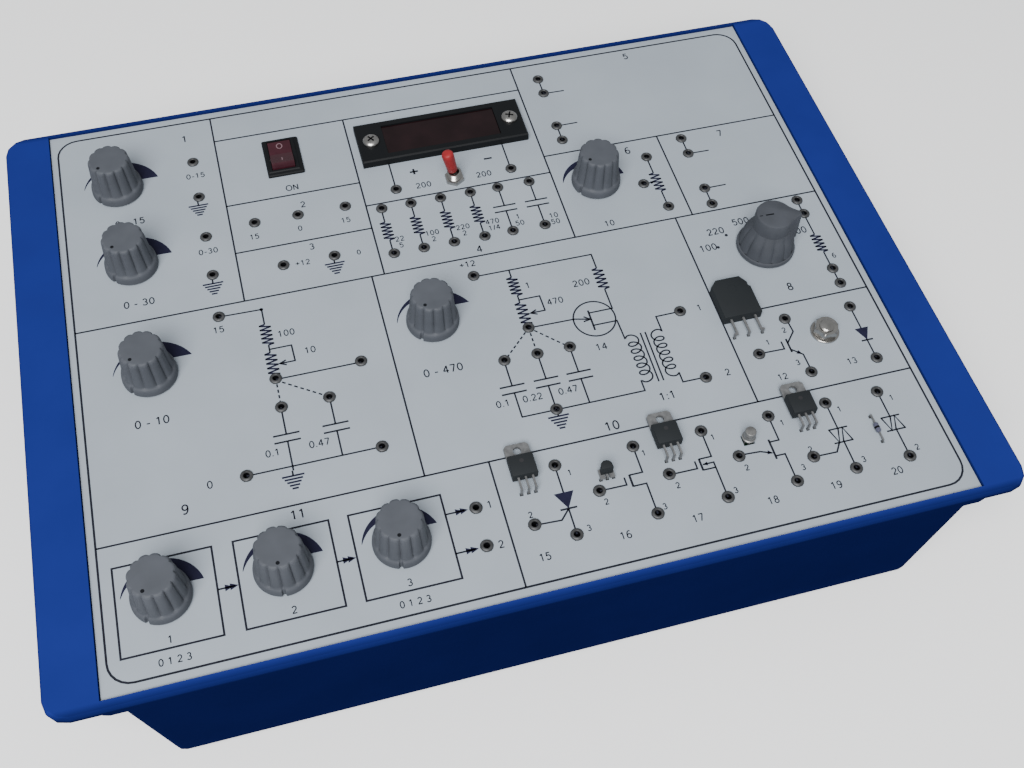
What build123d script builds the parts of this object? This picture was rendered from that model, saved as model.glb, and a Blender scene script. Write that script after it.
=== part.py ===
from build123d import *
import math
import os

# Power electronics trainer: a blue moulded tub with a carrying wing on each side,
# a white printed panel let into its top, and the controls, sockets and sample
# devices that stand on the panel. Sizes are in millimetres.
# X runs to the right, Y to the back, Z up. The origin is on the table, under the
# middle of the case.

# Case
case_height = 63.4
case_top_width = 331.6
case_top_depth = 282.6
side_taper = 8.0
front_taper = 1.1
case_corner_radius = 5.0
wing_reach = 24.7
flange_lip = 0.2
flange_corner_radius = 9.0
flange_thickness = 3.2
flange_edge = 1.2
corner_steps = 3
wall = 2.5
ledge_overlap = 3.0
ledge_thickness = 2.6
rib_reach = 8.0
foot_height = 5.0
foot_radius = 9.0
foot_top_radius = 10.0
round_sides = 12
foot_inset = 24.0

# Panel
panel_side_lap = 4.7
panel_strip = 3.5
panel_offset_y = 0.8
panel_thickness = 2.0
panel_recess = 1.4
panel_gap = 0.3

# Bottom cover and its bosses
cover_thickness = 2.5
cover_gap = 0.3
boss_radius = 5.5
coarse_sides = 8
boss_height = 14.0
boss_inset = 6.6
screw_radius = 1.5
screw_clearance = 0.1
screw_head_radius = 2.9
screw_head_height = 2.0
screw_sides = 6
cover_screw_length = 11.0
vent_count = 5
vent_pitch = 12.0
vent_width = 3.0
vent_length = 46.0

# Main board, hung under the panel
board_side_margin = 9.5
board_front_margin = 6.0
board_thickness = 1.6
board_drop = 9.0
spacer_radius = 3.0
spacer_inset = 8.0
board_screw_length = 7.0

# Sockets
socket_radius = 2.6
socket_sides = 6
socket_rise = 1.0
socket_bore_radius = 1.7
socket_bore_sides = 4
socket_bore_depth = 8.0
socket_gap = 0.15

# Potentiometers, selector and their knobs
control_body_size = 16.5
selector_body_radius = 12.0
bushing_radius = 4.5
bushing_rise = 4.6
bushing_sides = 6
shaft_radius = 3.0
shaft_fit = 0.05
shaft_floor = 2.0
nut_width = 12.0
nut_height = 2.2
nut_fit = 0.1
knob_height = 19.0
knob_panel_gap = 0.6
knob_skirt_radius = 11.3
knob_skirt_height = 4.2
knob_base_radius = 10.2
knob_top_radius = 8.9
knob_flutes = 12
knob_flute_depth = 0.7
knob_recess_radius = 7.1
knob_recess_height = 4.6
knob_crown = 3.0
pointer_width = 1.0
pointer_depth = 0.8
pointer_length = 6.0
pointer_angles = {
    "low_supply": 224.0,
    "high_supply": 226.0,
    "rc_firing": 227.0,
    "ujt_firing": 232.0,
    "divider": 212.0,
    "phase": 238.0,
    "width": 263.0,
    "gain": 257.0,
}
selector_skirt_radius = 13.0
selector_skirt_height = 2.2
selector_drum_radius = 12.2
selector_shoulder_height = 10.5
selector_shoulder_share = 0.9
selector_neck_height = 12.6
selector_neck_share = 0.78
selector_grip_radius = 8.6
selector_grip_start = 7.0
selector_grip_draft = 0.5
selector_nose_reach = 12.6
selector_nose_width = 2.2
selector_height = 21.7
selector_nose_angle = -10.0

# Rocker switch
bezel_width = 15.0
bezel_length = 21.0
bezel_height = 2.0
housing_width = 13.0
housing_length = 19.4
housing_depth = 14.0
housing_gap = 0.2
housing_floor = 2.0
rocker_well_width = 10.9
rocker_well_length = 18.0
rocker_width = 10.4
rocker_end_radius = 8.75
rocker_pivot_drop = 0.5
rocker_valley = 2.6
rocker_slope = 9.0
rocker_base = 3.0
rocker_throw = 18.0
pivot_radius = 1.2
pivot_fit = 0.06
pivot_sides = 10
pivot_reach = 0.7
terminal_width = 4.8
terminal_thickness = 0.8
terminal_length = 8.0
terminal_pitch = 5.6

# Toggle switch
toggle_body_width = 13.0
toggle_body_depth = 8.0
toggle_bush_radius = 3.0
toggle_bush_rise = 5.2
toggle_bore_radius = 2.4
toggle_nut_width = 8.0
toggle_nut_height = 2.0
toggle_ball_radius = 2.25
toggle_ball_width = 1.4
toggle_pivot_rise = 2.6
toggle_lever_radius = 1.2
toggle_tail_radius = 0.8
toggle_tail_length = 9.0
toggle_lever_length = 14.4
toggle_sleeve_radius = 2.4
toggle_sleeve_start = 4.2
toggle_sleeve_cap = 1.2
toggle_sleeve_edge = 1.0
toggle_cavity_width = 8.0
toggle_cavity_depth = 3.4
toggle_lean = 12.0
toggle_sides = 8

# Panel meter
meter_width = 79.3
meter_length = 24.5
meter_height = 4.0
meter_window_width = 54.0
meter_window_length = 17.6
meter_window_thickness = 1.6
meter_window_sink = 0.8
meter_window_lap = 1.5
meter_fit = 0.15
meter_screw_span = 66.8
meter_screw_radius = 1.7
meter_screw_length = 11.0
meter_head_radius = 3.7
meter_head_height = 2.2
display_width = 50.0
display_length = 14.0
display_gap = 0.5

# Mains inlet on the back wall
inlet_from_side = 45.8
inlet_z = 34.0
inlet_flange_width = 48.0
inlet_flange_height = 24.0
inlet_flange_thickness = 3.0
inlet_body_width = 27.0
inlet_body_height = 19.8
inlet_body_depth = 21.0
inlet_cavity_width = 24.4
inlet_cavity_height = 16.8
inlet_cavity_depth = 15.0
inlet_corner = 5.0
inlet_key = 3.0
inlet_screw_span = 40.0
inlet_gap = 0.2
inlet_sink = 5.6
blade_width = 2.0
blade_height = 4.0
blade_length = 10.4
blade_tail = 8.0
blade_spread = 7.0
blade_rise = 2.0

# Mains transformer
core_width = 57.0
core_depth = 24.0
core_height = 40.0
core_leg = 9.5
core_centre_leg = 19.0
core_yoke = 8.0
core_from_side = 53.8
core_from_back = 100.2
winding_gap = 0.3
winding_bulge = 10.0
winding_corner = 4.0
core_foot_thickness = 2.0
core_foot_reach = 9.0

# Supply board
supply_from_side = 127.8
supply_from_back = 70.2
supply_width = 120.0
supply_depth = 80.0
supply_rise = 6.0
supply_post_radius = 3.4
supply_hole_inset = 5.0
capacitor_radius = 8.0
capacitor_height = 25.0
capacitor_pitch = 22.0
sink_width = 70.0
sink_height = 26.0
sink_base = 3.0
sink_fin = 1.6
sink_fin_reach = 9.0
sink_fin_count = 7
fuse_radius = 2.6
fuse_length = 20.0
fuse_rise = 4.0

# Pieces under the main board
load_resistor_size = (9.0, 22.0, 8.5)
load_resistor_pitch = 11.5
load_resistor_count = 3
chip_size = (19.5, 6.5, 3.6)
chip_gap = 0.5

# Sample devices on the panel
power_width = 17.0
power_length = 20.2
power_thickness = 4.8
power_rise = 0.2
power_hole = 1.7
power_hole_depth = 1.6
power_chamfer = 3.0
power_lead_pitch = 6.35
power_lead_spread = 5.45
power_lead_reach = 7.65
lead_size = 0.9
lead_hole = 1.5
small_rise = 2.0
small_width = 10.2
small_body_length = 9.2
small_thickness = 4.4
small_tab_length = 6.4
small_tab_thickness = 1.3
small_tab_hole = 1.8
small_tab_corner = 1.2
small_lead_reach = 5.1
small_lead_pitch = 2.9
small_lead_size = 0.8
fet_width = 4.8
fet_depth = 3.7
fet_height = 4.8
fet_corner = 1.3
can_radius = 2.4
can_flange_radius = 2.8
can_flange_height = 0.5
can_edge = 0.5
can_height = 5.0
stud_radius = 2.8
stud_washer_radius = 6.2
stud_washer_height = 1.0
stud_nut_width = 9.5
stud_nut_height = 3.6
stud_rise = 5.6
stud_hex_width = 11.0
stud_hex_height = 3.2
stud_cap_radius = 4.2
stud_cap_height = 5.0
diac_radius = 1.1
diac_length = 4.4
diac_span = 12.0

# Sizes and levels that follow
case_base_width = case_top_width - 2 * side_taper
case_base_depth = case_top_depth - 2 * front_taper
flange_width = case_top_width + 2 * wing_reach
flange_depth = case_top_depth + 2 * flange_lip
panel_width = case_top_width + 2 * panel_side_lap
panel_depth = flange_depth - 2 * panel_strip
board_width = panel_width - 2 * board_side_margin
board_depth = panel_depth - 2 * board_front_margin
cover_top = foot_height + cover_thickness
case_top = foot_height + case_height
panel_top = case_top - panel_recess
panel_bottom = panel_top - panel_thickness
board_top = panel_bottom - board_drop
board_bottom = board_top - board_thickness
ledge_bottom = panel_bottom - ledge_thickness
pivot_z = panel_top - rocker_pivot_drop
toggle_pivot_z = panel_top + toggle_pivot_rise

# Behind the panel
inlet_x = inlet_from_side - case_base_width / 2
core_x = core_from_side - case_base_width / 2
core_y = case_base_depth / 2 - core_from_back
supply_x = case_base_width / 2 - supply_from_side
supply_y = case_base_depth / 2 - supply_from_back

# Places on the panel, in steps of its printed layout from the middle of the case
layout_columns = 341
layout_rows = 276


def spot(x, y):
    return (x * panel_width / layout_columns, y * panel_depth / layout_rows)


control_places = {
    "low_supply": spot(-142.6, 100.4),
    "high_supply": spot(-140.9, 54.4),
    "rc_firing": spot(-139.4, -4.6),
    "ujt_firing": spot(-21.3, -6.2),
    "divider": spot(70.0, 53.4),
    "phase": spot(-145.7, -103.4),
    "width": spot(-101.0, -103.6),
    "gain": spot(-56.2, -103.8),
}
selector_place = spot(132.2, -1.8)
rocker_x, rocker_y = spot(-67.9, 102.6)
toggle_x, toggle_y = spot(6.9, 70.5)
meter_x, meter_y = spot(7.3, 98.8)
power_x, power_y = spot(107.2, -27.9)
small_fronts = [spot(-4.0, -90.2), spot(55.7, -90.2), spot(113.6, -90.2)]
fet_x, fet_y = spot(27.6, -94.0)
can_x, can_y = spot(88.0, -94.0)
stud_x, stud_y = spot(139.6, -52.0)
diac_x, diac_y = spot(140.8, -102.2)

supply_sockets = [
    (-108, 109), (-108, 87), (-108, 63), (-108, 41),
    (-86, 66), (-66.5, 66), (-45, 66),
    (-77.5, 39), (-55, 39),
]
bank_columns = (-29.3, -15.8, -2, 12, 25, 40)
bank_rows = (60.7, 34)
component_sockets = [
    (-20.5, 70.5), (34, 70.5),
    (62.5, 124.5), (62.5, 114.5), (62.5, 92), (62.5, 82.4),
    (98, 62.5), (91.3, 46.8), (98, 31),
    (118, 70), (118, 60), (118, 37.5), (118, 27.7),
    (157, 20.3), (157, 12), (157, -20.8), (157, -29.2),
] + [(x, y) for y in bank_rows for x in bank_columns]
circuit_sockets = [
    (-108.5, 18), (-90.3, -18.8), (-54.8, -18.8), (-90.3, -33), (-70.7, -33),
    (-108.5, -61), (-54.8, -61),
    (1.5, 13.3), (17.3, -19.2), (3, -33), (17.3, -33), (31.5, -33), (17.3, -61.3),
    (83, -26.7), (82, -61.6),
    (-25.5, -96.6), (-25.5, -113.2),
]
device_sockets = [
    (125.6, -41.5), (108, -56), (126, -69.8),
    (155.8, -42.2), (155.8, -69.9),
    (9.3, -86.2), (-5.5, -109.2), (9, -117.2),
    (42, -85.6), (23, -101.4), (42, -116.4),
    (71, -85.6), (52, -101.1), (71, -116.5),
    (100.2, -85.7), (81.8, -100.3), (100.2, -116.6),
    (125.5, -85.6), (110.8, -108), (125.4, -117),
    (148.7, -85.7), (148.7, -117.2),
]
socket_groups = {
    "supply_sockets": [spot(x, y) for x, y in supply_sockets],
    "component_sockets": [spot(x, y) for x, y in component_sockets],
    "circuit_sockets": [spot(x, y) for x, y in circuit_sockets],
    "device_sockets": [spot(x, y) for x, y in device_sockets],
}

UP = (Align.CENTER, Align.CENTER, Align.MIN)
DOWN = (Align.CENTER, Align.CENTER, Align.MAX)


def bar(radius, height, sides, z):
    """An upright many-sided bar that stands at height z."""
    return Pos(0, 0, z) * extrude(RegularPolygon(radius, sides), height)


def flat_face(corners):
    return Face(Wire.make_polygon(corners))


def faceted(rings, split=False):
    """A solid with flat faces through rings of corners, split into triangles if asked."""
    faces = [flat_face(rings[0]), flat_face(rings[-1])]
    for low, high in zip(rings, rings[1:]):
        for i in range(len(low)):
            j = (i + 1) % len(low)
            if split:
                near, far = (i, j) if i % 2 else (j, i)
                faces.append(flat_face([low[i], low[j], high[near]]))
                faces.append(flat_face([high[i], high[j], low[far]]))
            else:
                faces.append(flat_face([low[i], low[j], high[j], high[i]]))
    return Solid(Shell(faces))


def star_ring(outer, inner, sides, z):
    """Corners round a circle at height z, in turn at the inner and the outer radius."""
    corners = []
    for i in range(sides):
        angle = 2 * math.pi * i / sides
        radius = outer if i % 2 else inner
        corners.append((radius * math.cos(angle), radius * math.sin(angle), z))
    return corners


def turned(sections, sides):
    """A turned form drawn with flats: one ring of corners for each (radius, height)."""
    return faceted([star_ring(radius, radius, sides, z) for radius, z in sections])


def rounded_corners(width, depth, radius):
    """The corners of a rectangle that turns its four corners in short steps."""
    points = []
    for quarter in range(4):
        side_x = 1 if quarter in (0, 3) else -1
        side_y = 1 if quarter in (0, 1) else -1
        for step in range(corner_steps + 1):
            angle = math.radians(90 * (quarter + step / corner_steps))
            x = side_x * (width / 2 - radius) + radius * math.cos(angle)
            y = side_y * (depth / 2 - radius) + radius * math.sin(angle)
            points.append((x, y))
    return points


def rounded(width, depth, radius):
    return Polygon(*rounded_corners(width, depth, radius), align=None)


def rounded_ring(width, depth, radius, z):
    return [(x, y, z) for x, y in rounded_corners(width, depth, radius)]


def across(width):
    """The corner radius of a hexagon that is this wide across its flats."""
    return width / math.sqrt(3)


def export(shape, name):
    export_step(shape, f"parts/{name}.step")


def group(shapes):
    return Compound(children=list(shapes))


# Case

def case_size(z):
    """Width and depth of the tapered tub's outside at height z."""
    share = (z - foot_height) / (ledge_bottom - foot_height)
    width = case_base_width + share * (case_top_width - case_base_width)
    depth = case_base_depth + share * (case_top_depth - case_base_depth)
    return width, depth


def case_section(z, inset):
    width, depth = case_size(z)
    radius = max(case_corner_radius - inset, 0.5)
    return rounded_ring(width - 2 * inset, depth - 2 * inset, radius, z)


def boss_places():
    width, depth = case_size(foot_height)
    x = width / 2 - boss_inset
    y = depth / 2 - boss_inset
    return [(side_x * x, side_y * y) for side_x in (-1, 1) for side_y in (-1, 1)]


def screw_places_on_board():
    x = board_width / 2 - spacer_inset
    y = board_depth / 2 - spacer_inset
    return [(side_x * x, side_y * y) for side_x in (-1, 1) for side_y in (-1, 1)]


def flange_ring(z, inset):
    return rounded_ring(
        flange_width - 2 * inset, flange_depth - 2 * inset, flange_corner_radius - inset, z
    )


def inlet_seat_y():
    """The bay's floor: the inlet's flange lies here, inside the back wall's face."""
    return case_base_depth / 2 - inlet_sink


def inlet_bay():
    """A pocket in the back wall with room for the inlet's flange."""
    width = inlet_flange_width + 2 * inlet_gap
    height = inlet_flange_height + 2 * inlet_gap
    outer = Box(
        width + 2 * wall, inlet_sink + wall, height + 2 * wall, align=(Align.CENTER, Align.MIN, Align.CENTER)
    )
    outer = Pos(inlet_x, inlet_seat_y() - wall, inlet_z) * outer
    pocket = Box(width, 4 * inlet_sink, height, align=(Align.CENTER, Align.MIN, Align.CENTER))
    pocket = Pos(inlet_x, inlet_seat_y(), inlet_z) * pocket
    hole = Box(inlet_body_width + 2 * inlet_gap, 4 * wall, inlet_body_height + 2 * inlet_gap)
    pocket += Pos(inlet_x, inlet_seat_y(), inlet_z) * hole
    for side in (-1, 1):
        drill = Rot(90, 0, 0) * bar(screw_radius + screw_clearance, 4 * wall, screw_sides, -2 * wall)
        pocket += Pos(inlet_x + side * inlet_screw_span / 2, inlet_seat_y(), inlet_z) * drill
    return outer, pocket


def body_shell():
    outer = faceted([case_section(foot_height, 0), case_section(ledge_bottom, 0)])
    cavity = faceted([case_section(foot_height, wall), case_section(ledge_bottom, wall)])
    bay, pocket = inlet_bay()
    shell = outer - cavity + (bay & outer)
    top_width, top_depth = case_size(ledge_bottom)
    rib = rounded(top_width + 2 * rib_reach, top_depth, case_corner_radius)
    shell += Pos(0, 0, ledge_bottom) * extrude(rib, case_top - flange_thickness - ledge_bottom)
    low = case_top - flange_thickness
    rings = [flange_ring(low, 0), flange_ring(case_top - flange_edge, 0), flange_ring(case_top, flange_edge)]
    shell += faceted(rings)
    inset = 2 * (wall + ledge_overlap)
    ledge_hole = rounded(top_width - inset, top_depth - inset, case_corner_radius)
    shell -= Pos(0, 0, ledge_bottom) * extrude(ledge_hole, case_top - ledge_bottom)
    recess = Pos(0, panel_offset_y) * Rectangle(panel_width + 2 * panel_gap, panel_depth + 2 * panel_gap)
    shell -= Pos(0, 0, panel_bottom) * extrude(recess, case_top - panel_bottom)
    inside = Pos(0, 0, cover_top) * Box(case_base_width, case_base_depth, boss_height, align=UP)
    for x, y in boss_places():
        shell += Pos(x, y, 0) * bar(boss_radius, boss_height, coarse_sides, cover_top) & inside
        shell -= Pos(x, y, 0) * bar(screw_radius + screw_clearance, boss_height, screw_sides, cover_top)
    return shell - pocket


def bottom_cover():
    inset = wall + cover_gap
    width, depth = case_size(foot_height)
    radius = max(case_corner_radius - inset, 0.5)
    plate = rounded(width - 2 * inset, depth - 2 * inset, radius)
    for x, y in boss_places():
        plate -= Pos(x, y) * RegularPolygon(screw_radius + screw_clearance, screw_sides)
    for side in (-1, 1):
        for i in range(vent_count):
            x = side * (width / 4) + (i - (vent_count - 1) / 2) * vent_pitch
            plate -= Pos(x, -depth / 5) * Rectangle(vent_width, vent_length)
    for x, y in supply_hole_places() + core_hole_places():
        plate -= Pos(x, y) * RegularPolygon(screw_radius + screw_clearance, screw_sides)
    cover = Pos(0, 0, foot_height) * extrude(plate, cover_thickness)
    for x, y in supply_hole_places():
        post = RegularPolygon(supply_post_radius, screw_sides)
        post -= RegularPolygon(screw_radius + screw_clearance, screw_sides)
        cover += Pos(x, y, cover_top) * extrude(post, supply_rise)
    return cover


def rubber_feet():
    x = case_base_width / 2 - foot_inset
    y = case_base_depth / 2 - foot_inset
    foot = turned([(foot_radius, 0), (foot_top_radius, foot_height)], round_sides)
    return group(Pos(sx * x, sy * y, 0) * foot for sx in (-1, 1) for sy in (-1, 1))


def screw(length):
    """A screw that hangs from z = 0, head below, shank up."""
    head = bar(screw_head_radius, screw_head_height, screw_sides, -screw_head_height)
    return head + bar(screw_radius, length, screw_sides, 0)


def case_screws():
    screws = [Pos(x, y, foot_height) * screw(cover_screw_length) for x, y in boss_places()]
    post_length = cover_thickness + supply_rise + board_thickness - 0.2
    screws += [Pos(x, y, foot_height) * screw(post_length) for x, y in supply_hole_places()]
    core_length = cover_thickness + core_foot_thickness
    screws += [Pos(x, y, foot_height) * screw(core_length) for x, y in core_hole_places()]
    screws += [Pos(x, y, board_bottom) * screw(board_screw_length) for x, y in screw_places_on_board()]
    head_y = inlet_seat_y() + inlet_flange_thickness
    for side in (-1, 1):
        x = inlet_x + side * inlet_screw_span / 2
        screws.append(Pos(x, head_y, inlet_z) * Rot(90, 0, 0) * screw(cover_screw_length))
    return group(screws)


# Panel and main board

def lead_places():
    y = power_y - power_length / 2 - power_lead_reach
    places = [(power_x + i * power_lead_pitch, y) for i in (-1, 0, 1)]
    for x, y in small_fronts:
        places += [(x + i * small_lead_pitch, y - small_lead_reach) for i in (-1, 0, 1)]
    places += [(fet_x + i * 2.6, fet_y - fet_depth / 2 - 1.0) for i in (-1, 0, 1)]
    places += [(diac_x, diac_y + side * diac_span / 2) for side in (-1, 1)]
    return places


def front_panel():
    sheet = Pos(0, panel_offset_y) * Rectangle(panel_width, panel_depth)
    for places in socket_groups.values():
        for x, y in places:
            sheet -= Pos(x, y) * RegularPolygon(socket_radius + socket_gap, socket_sides)
    for x, y in list(control_places.values()) + [selector_place]:
        sheet -= Pos(x, y) * RegularPolygon(bushing_radius + nut_fit, bushing_sides)
    sheet -= Pos(toggle_x, toggle_y) * RegularPolygon(toggle_bush_radius + nut_fit, toggle_sides)
    sheet -= Pos(rocker_x, rocker_y) * Rectangle(
        housing_width + 2 * housing_gap, housing_length + 2 * housing_gap
    )
    sheet -= Pos(meter_x, meter_y) * Rectangle(
        display_width + 2 * display_gap, display_length + 2 * display_gap
    )
    for side in (-1, 1):
        hole = RegularPolygon(meter_screw_radius + meter_fit, screw_sides)
        sheet -= Pos(meter_x + side * meter_screw_span / 2, meter_y) * hole
    sheet -= Pos(stud_x, stud_y) * RegularPolygon(stud_radius + nut_fit, coarse_sides)
    for x, y in lead_places():
        sheet -= Pos(x, y) * Rectangle(lead_hole, lead_hole)
    sheet -= Pos(can_x, can_y) * Rectangle(2 * can_radius, 2 * can_radius)
    return Pos(0, 0, panel_bottom) * extrude(sheet, panel_thickness)


def main_board():
    sheet = Rectangle(board_width, board_depth)
    sheet -= Pos(rocker_x, rocker_y) * Rectangle(bezel_width, bezel_length)
    for x, y in screw_places_on_board():
        sheet -= Pos(x, y) * RegularPolygon(screw_radius + screw_clearance, screw_sides)
    return Pos(0, 0, board_bottom) * extrude(sheet, board_thickness)


def board_spacers():
    ring = RegularPolygon(spacer_radius, 6) - RegularPolygon(screw_radius + screw_clearance, screw_sides)
    spacer = Pos(0, 0, board_top) * extrude(ring, board_drop)
    return group(Pos(x, y, 0) * spacer for x, y in screw_places_on_board())


def sockets(places):
    height = panel_top + socket_rise - board_top
    socket = bar(socket_radius, height, socket_sides, board_top)
    top = board_top + height
    socket -= bar(socket_bore_radius, socket_bore_depth, socket_bore_sides, top - socket_bore_depth)
    return group(Pos(x, y, 0) * socket for x, y in places)


# Controls

def bushing():
    """The bush that comes up through the panel, with its nut run down on it."""
    height = panel_top + bushing_rise - panel_bottom
    nut = bar(across(nut_width), nut_height, 6, panel_top)
    return bar(bushing_radius, height, bushing_sides, panel_bottom) + nut


def shaft_bore():
    radius = (shaft_radius + shaft_fit) / math.cos(math.pi / bushing_sides)
    floor = board_top + shaft_floor
    return bar(radius, panel_top + bushing_rise - floor, bushing_sides, floor)


def potentiometer_body():
    can = Pos(0, 0, board_top) * Box(control_body_size, control_body_size, board_drop, align=UP)
    return can + bushing() - shaft_bore()


def selector_body():
    can = bar(selector_body_radius, board_drop, round_sides, board_top)
    return Pos(*selector_place, 0) * (can + bushing() - shaft_bore())


def shaft(top):
    floor = board_top + shaft_floor + shaft_fit
    return Pos(0, 0, floor) * Cylinder(shaft_radius, top - floor, align=UP)


def knob_core(height):
    """Recess in which the nut turns free, and the blind hole for the shaft."""
    recess_radius = knob_recess_radius / math.cos(math.pi / coarse_sides)
    recess = bar(recess_radius, knob_recess_height, coarse_sides, 0)
    radius = (shaft_radius + shaft_fit) / math.cos(math.pi / bushing_sides)
    return recess + bar(radius, height - knob_crown, bushing_sides, 0)


def fluted_knob(pointer_angle):
    sides = 2 * knob_flutes
    low = star_ring(knob_skirt_radius, knob_skirt_radius, sides, 0)
    shallow = knob_base_radius - knob_flute_depth / 2
    middle = star_ring(knob_base_radius, shallow, sides, knob_skirt_height)
    high = star_ring(knob_top_radius, knob_top_radius - knob_flute_depth, sides, knob_height)
    body = faceted([low, middle, high], split=True)
    notch = Pos(knob_top_radius, 0, knob_height) * Box(pointer_length, pointer_width, 2 * pointer_depth)
    knob = body - knob_core(knob_height) - notch
    return Rot(0, 0, pointer_angle) * knob


def selector_grip(z, share):
    """The corners of the grip at height z: round, with a nose that points to +X."""
    half = [(selector_nose_reach, selector_nose_width / 2)]
    for step in range(5):
        angle = math.radians(35 + 29 * step)
        half.append((selector_grip_radius * math.cos(angle), selector_grip_radius * math.sin(angle)))
    points = half + [(-selector_grip_radius, 0)] + [(x, -y) for x, y in reversed(half)]
    return [(x * share, y * share, z) for x, y in points]


def selector_drum():
    """A plain skirt, and on it a fluted drum that tapers to a shoulder and a neck."""
    sides = 2 * knob_flutes
    rings = [
        star_ring(selector_skirt_radius, selector_skirt_radius, sides, 0),
        star_ring(selector_skirt_radius, selector_skirt_radius, sides, selector_skirt_height),
    ]
    for share, z in (
        (1, selector_skirt_height),
        (selector_shoulder_share, selector_shoulder_height),
        (selector_neck_share, selector_neck_height),
    ):
        ridge = share * selector_drum_radius
        groove = share * (selector_drum_radius - knob_flute_depth)
        rings.append(star_ring(ridge, groove, sides, z))
    return faceted(rings)


def selector_knob():
    share = 1 - selector_grip_draft / selector_grip_radius
    grip = faceted([selector_grip(selector_grip_start, 1), selector_grip(selector_height, share)])
    knob = selector_drum() + grip - knob_core(selector_height)
    return Rot(0, 0, selector_nose_angle) * knob


# Rocker switch

def rocker_housing():
    bezel = Box(bezel_width, bezel_length, bezel_height, align=UP)
    bezel = chamfer(bezel.edges().group_by(Axis.Z)[-1], bezel_height / 3)
    housing = Pos(0, 0, panel_top) * bezel
    housing += Pos(0, 0, panel_top) * Box(housing_width, housing_length, housing_depth, align=DOWN)
    floor = panel_top - housing_depth + housing_floor
    well = Box(rocker_well_width, rocker_well_length, panel_top + bezel_height - floor, align=UP)
    housing -= Pos(0, 0, floor) * well
    reach = rocker_well_width / 2 + pivot_reach + pivot_fit
    hole_radius = (pivot_radius + pivot_fit) / math.cos(math.pi / pivot_sides)
    housing -= Pos(0, 0, pivot_z) * Rot(0, 90, 0) * bar(hole_radius, 2 * reach, pivot_sides, -reach)
    terminal = Box(terminal_thickness, terminal_width, terminal_length, align=DOWN)
    for i in (-1, 0, 1):
        housing += Pos(0, i * terminal_pitch, panel_top - housing_depth) * terminal
    return Pos(rocker_x, rocker_y, 0) * housing


def rocker():
    """Seen along its pivot: round ends, and a shallow valley between two press faces."""
    disc = Cylinder(rocker_end_radius, rocker_width, rotation=(0, 90, 0))
    keep = Pos(0, 0, -rocker_base) * Box(
        rocker_width, 2 * rocker_end_radius, rocker_base + 2 * rocker_end_radius, align=UP
    )
    button = disc & keep
    for side in (-1, 1):
        cutter = Pos(0, side * rocker_end_radius, 0) * Box(
            2 * rocker_width, 2 * rocker_end_radius, rocker_end_radius, align=UP
        )
        cutter = Rot(side * rocker_slope, 0, 0) * cutter
        button -= Pos(0, 0, rocker_valley) * cutter
    reach = rocker_well_width / 2 + pivot_reach
    button += Rot(0, 90, 0) * bar(pivot_radius, 2 * reach, pivot_sides, -reach)
    button = Rot(-rocker_throw / 2, 0, 0) * button
    return Pos(rocker_x, rocker_y, pivot_z) * button


# Toggle switch

def toggle_body():
    can = Pos(0, 0, board_top) * Box(toggle_body_width, toggle_body_depth, board_drop, align=UP)
    top = panel_top + toggle_bush_rise
    bush = bar(toggle_bush_radius, top - panel_bottom, toggle_sides, panel_bottom)
    floor = panel_bottom - board_drop + 1
    cavity = Pos(0, 0, floor) * Box(
        toggle_cavity_width, toggle_cavity_depth, panel_bottom - floor, align=UP
    )
    radius = toggle_bore_radius
    bore = bar(radius / math.cos(math.pi / toggle_sides), top - floor, toggle_sides, floor)
    return Pos(toggle_x, toggle_y, 0) * (can + bush - cavity - bore)


def toggle_nut():
    ring = RegularPolygon(across(toggle_nut_width), 6)
    ring -= RegularPolygon(toggle_bush_radius + nut_fit, toggle_sides)
    return Pos(toggle_x, toggle_y, panel_top) * extrude(ring, toggle_nut_height)


def lean(shape):
    return Pos(toggle_x, toggle_y, toggle_pivot_z) * Rot(0, -toggle_lean, 0) * shape


def toggle_lever():
    lever = Cylinder(toggle_ball_radius, toggle_ball_width, rotation=(90, 0, 0))
    lever += bar(toggle_lever_radius, toggle_lever_length, toggle_sides, 0)
    lever += bar(toggle_tail_radius, toggle_tail_length, toggle_sides, -toggle_tail_length)
    return lean(lever)


def toggle_sleeve():
    top = toggle_lever_length + toggle_sleeve_cap
    edge = toggle_sleeve_edge
    rings = [(toggle_sleeve_radius - edge / 4, toggle_sleeve_start), (toggle_sleeve_radius, top - edge)]
    rings.append((toggle_sleeve_radius - edge, top))
    tube = turned(rings, toggle_sides)
    return lean(tube - bar(toggle_lever_radius, toggle_lever_length, toggle_sides, 0))


# Panel meter

def meter_bezel():
    frame = Box(meter_width, meter_length, meter_height, align=UP)
    frame = chamfer(frame.edges().group_by(Axis.Z)[-1], 0.6)
    sill = meter_height - meter_window_sink - meter_window_thickness
    frame -= Pos(0, 0, sill) * Box(
        meter_window_width + 2 * meter_fit, meter_window_length + 2 * meter_fit, meter_height, align=UP
    )
    frame -= Box(
        meter_window_width - 2 * meter_window_lap, meter_window_length - 2 * meter_window_lap, sill, align=UP
    )
    for side in (-1, 1):
        hole = bar(meter_screw_radius + meter_fit, meter_height, screw_sides, 0)
        frame -= Pos(side * meter_screw_span / 2, 0, 0) * hole
    return Pos(meter_x, meter_y, panel_top) * frame


def meter_window():
    sill = meter_height - meter_window_sink - meter_window_thickness
    pane = Box(meter_window_width, meter_window_length, meter_window_thickness, align=UP)
    return Pos(meter_x, meter_y, panel_top + sill) * pane


def meter_display():
    top = panel_top + meter_height - meter_window_sink - meter_window_thickness - display_gap
    block = Box(display_width, display_length, top - board_top, align=UP)
    return Pos(meter_x, meter_y, board_top) * block


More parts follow.
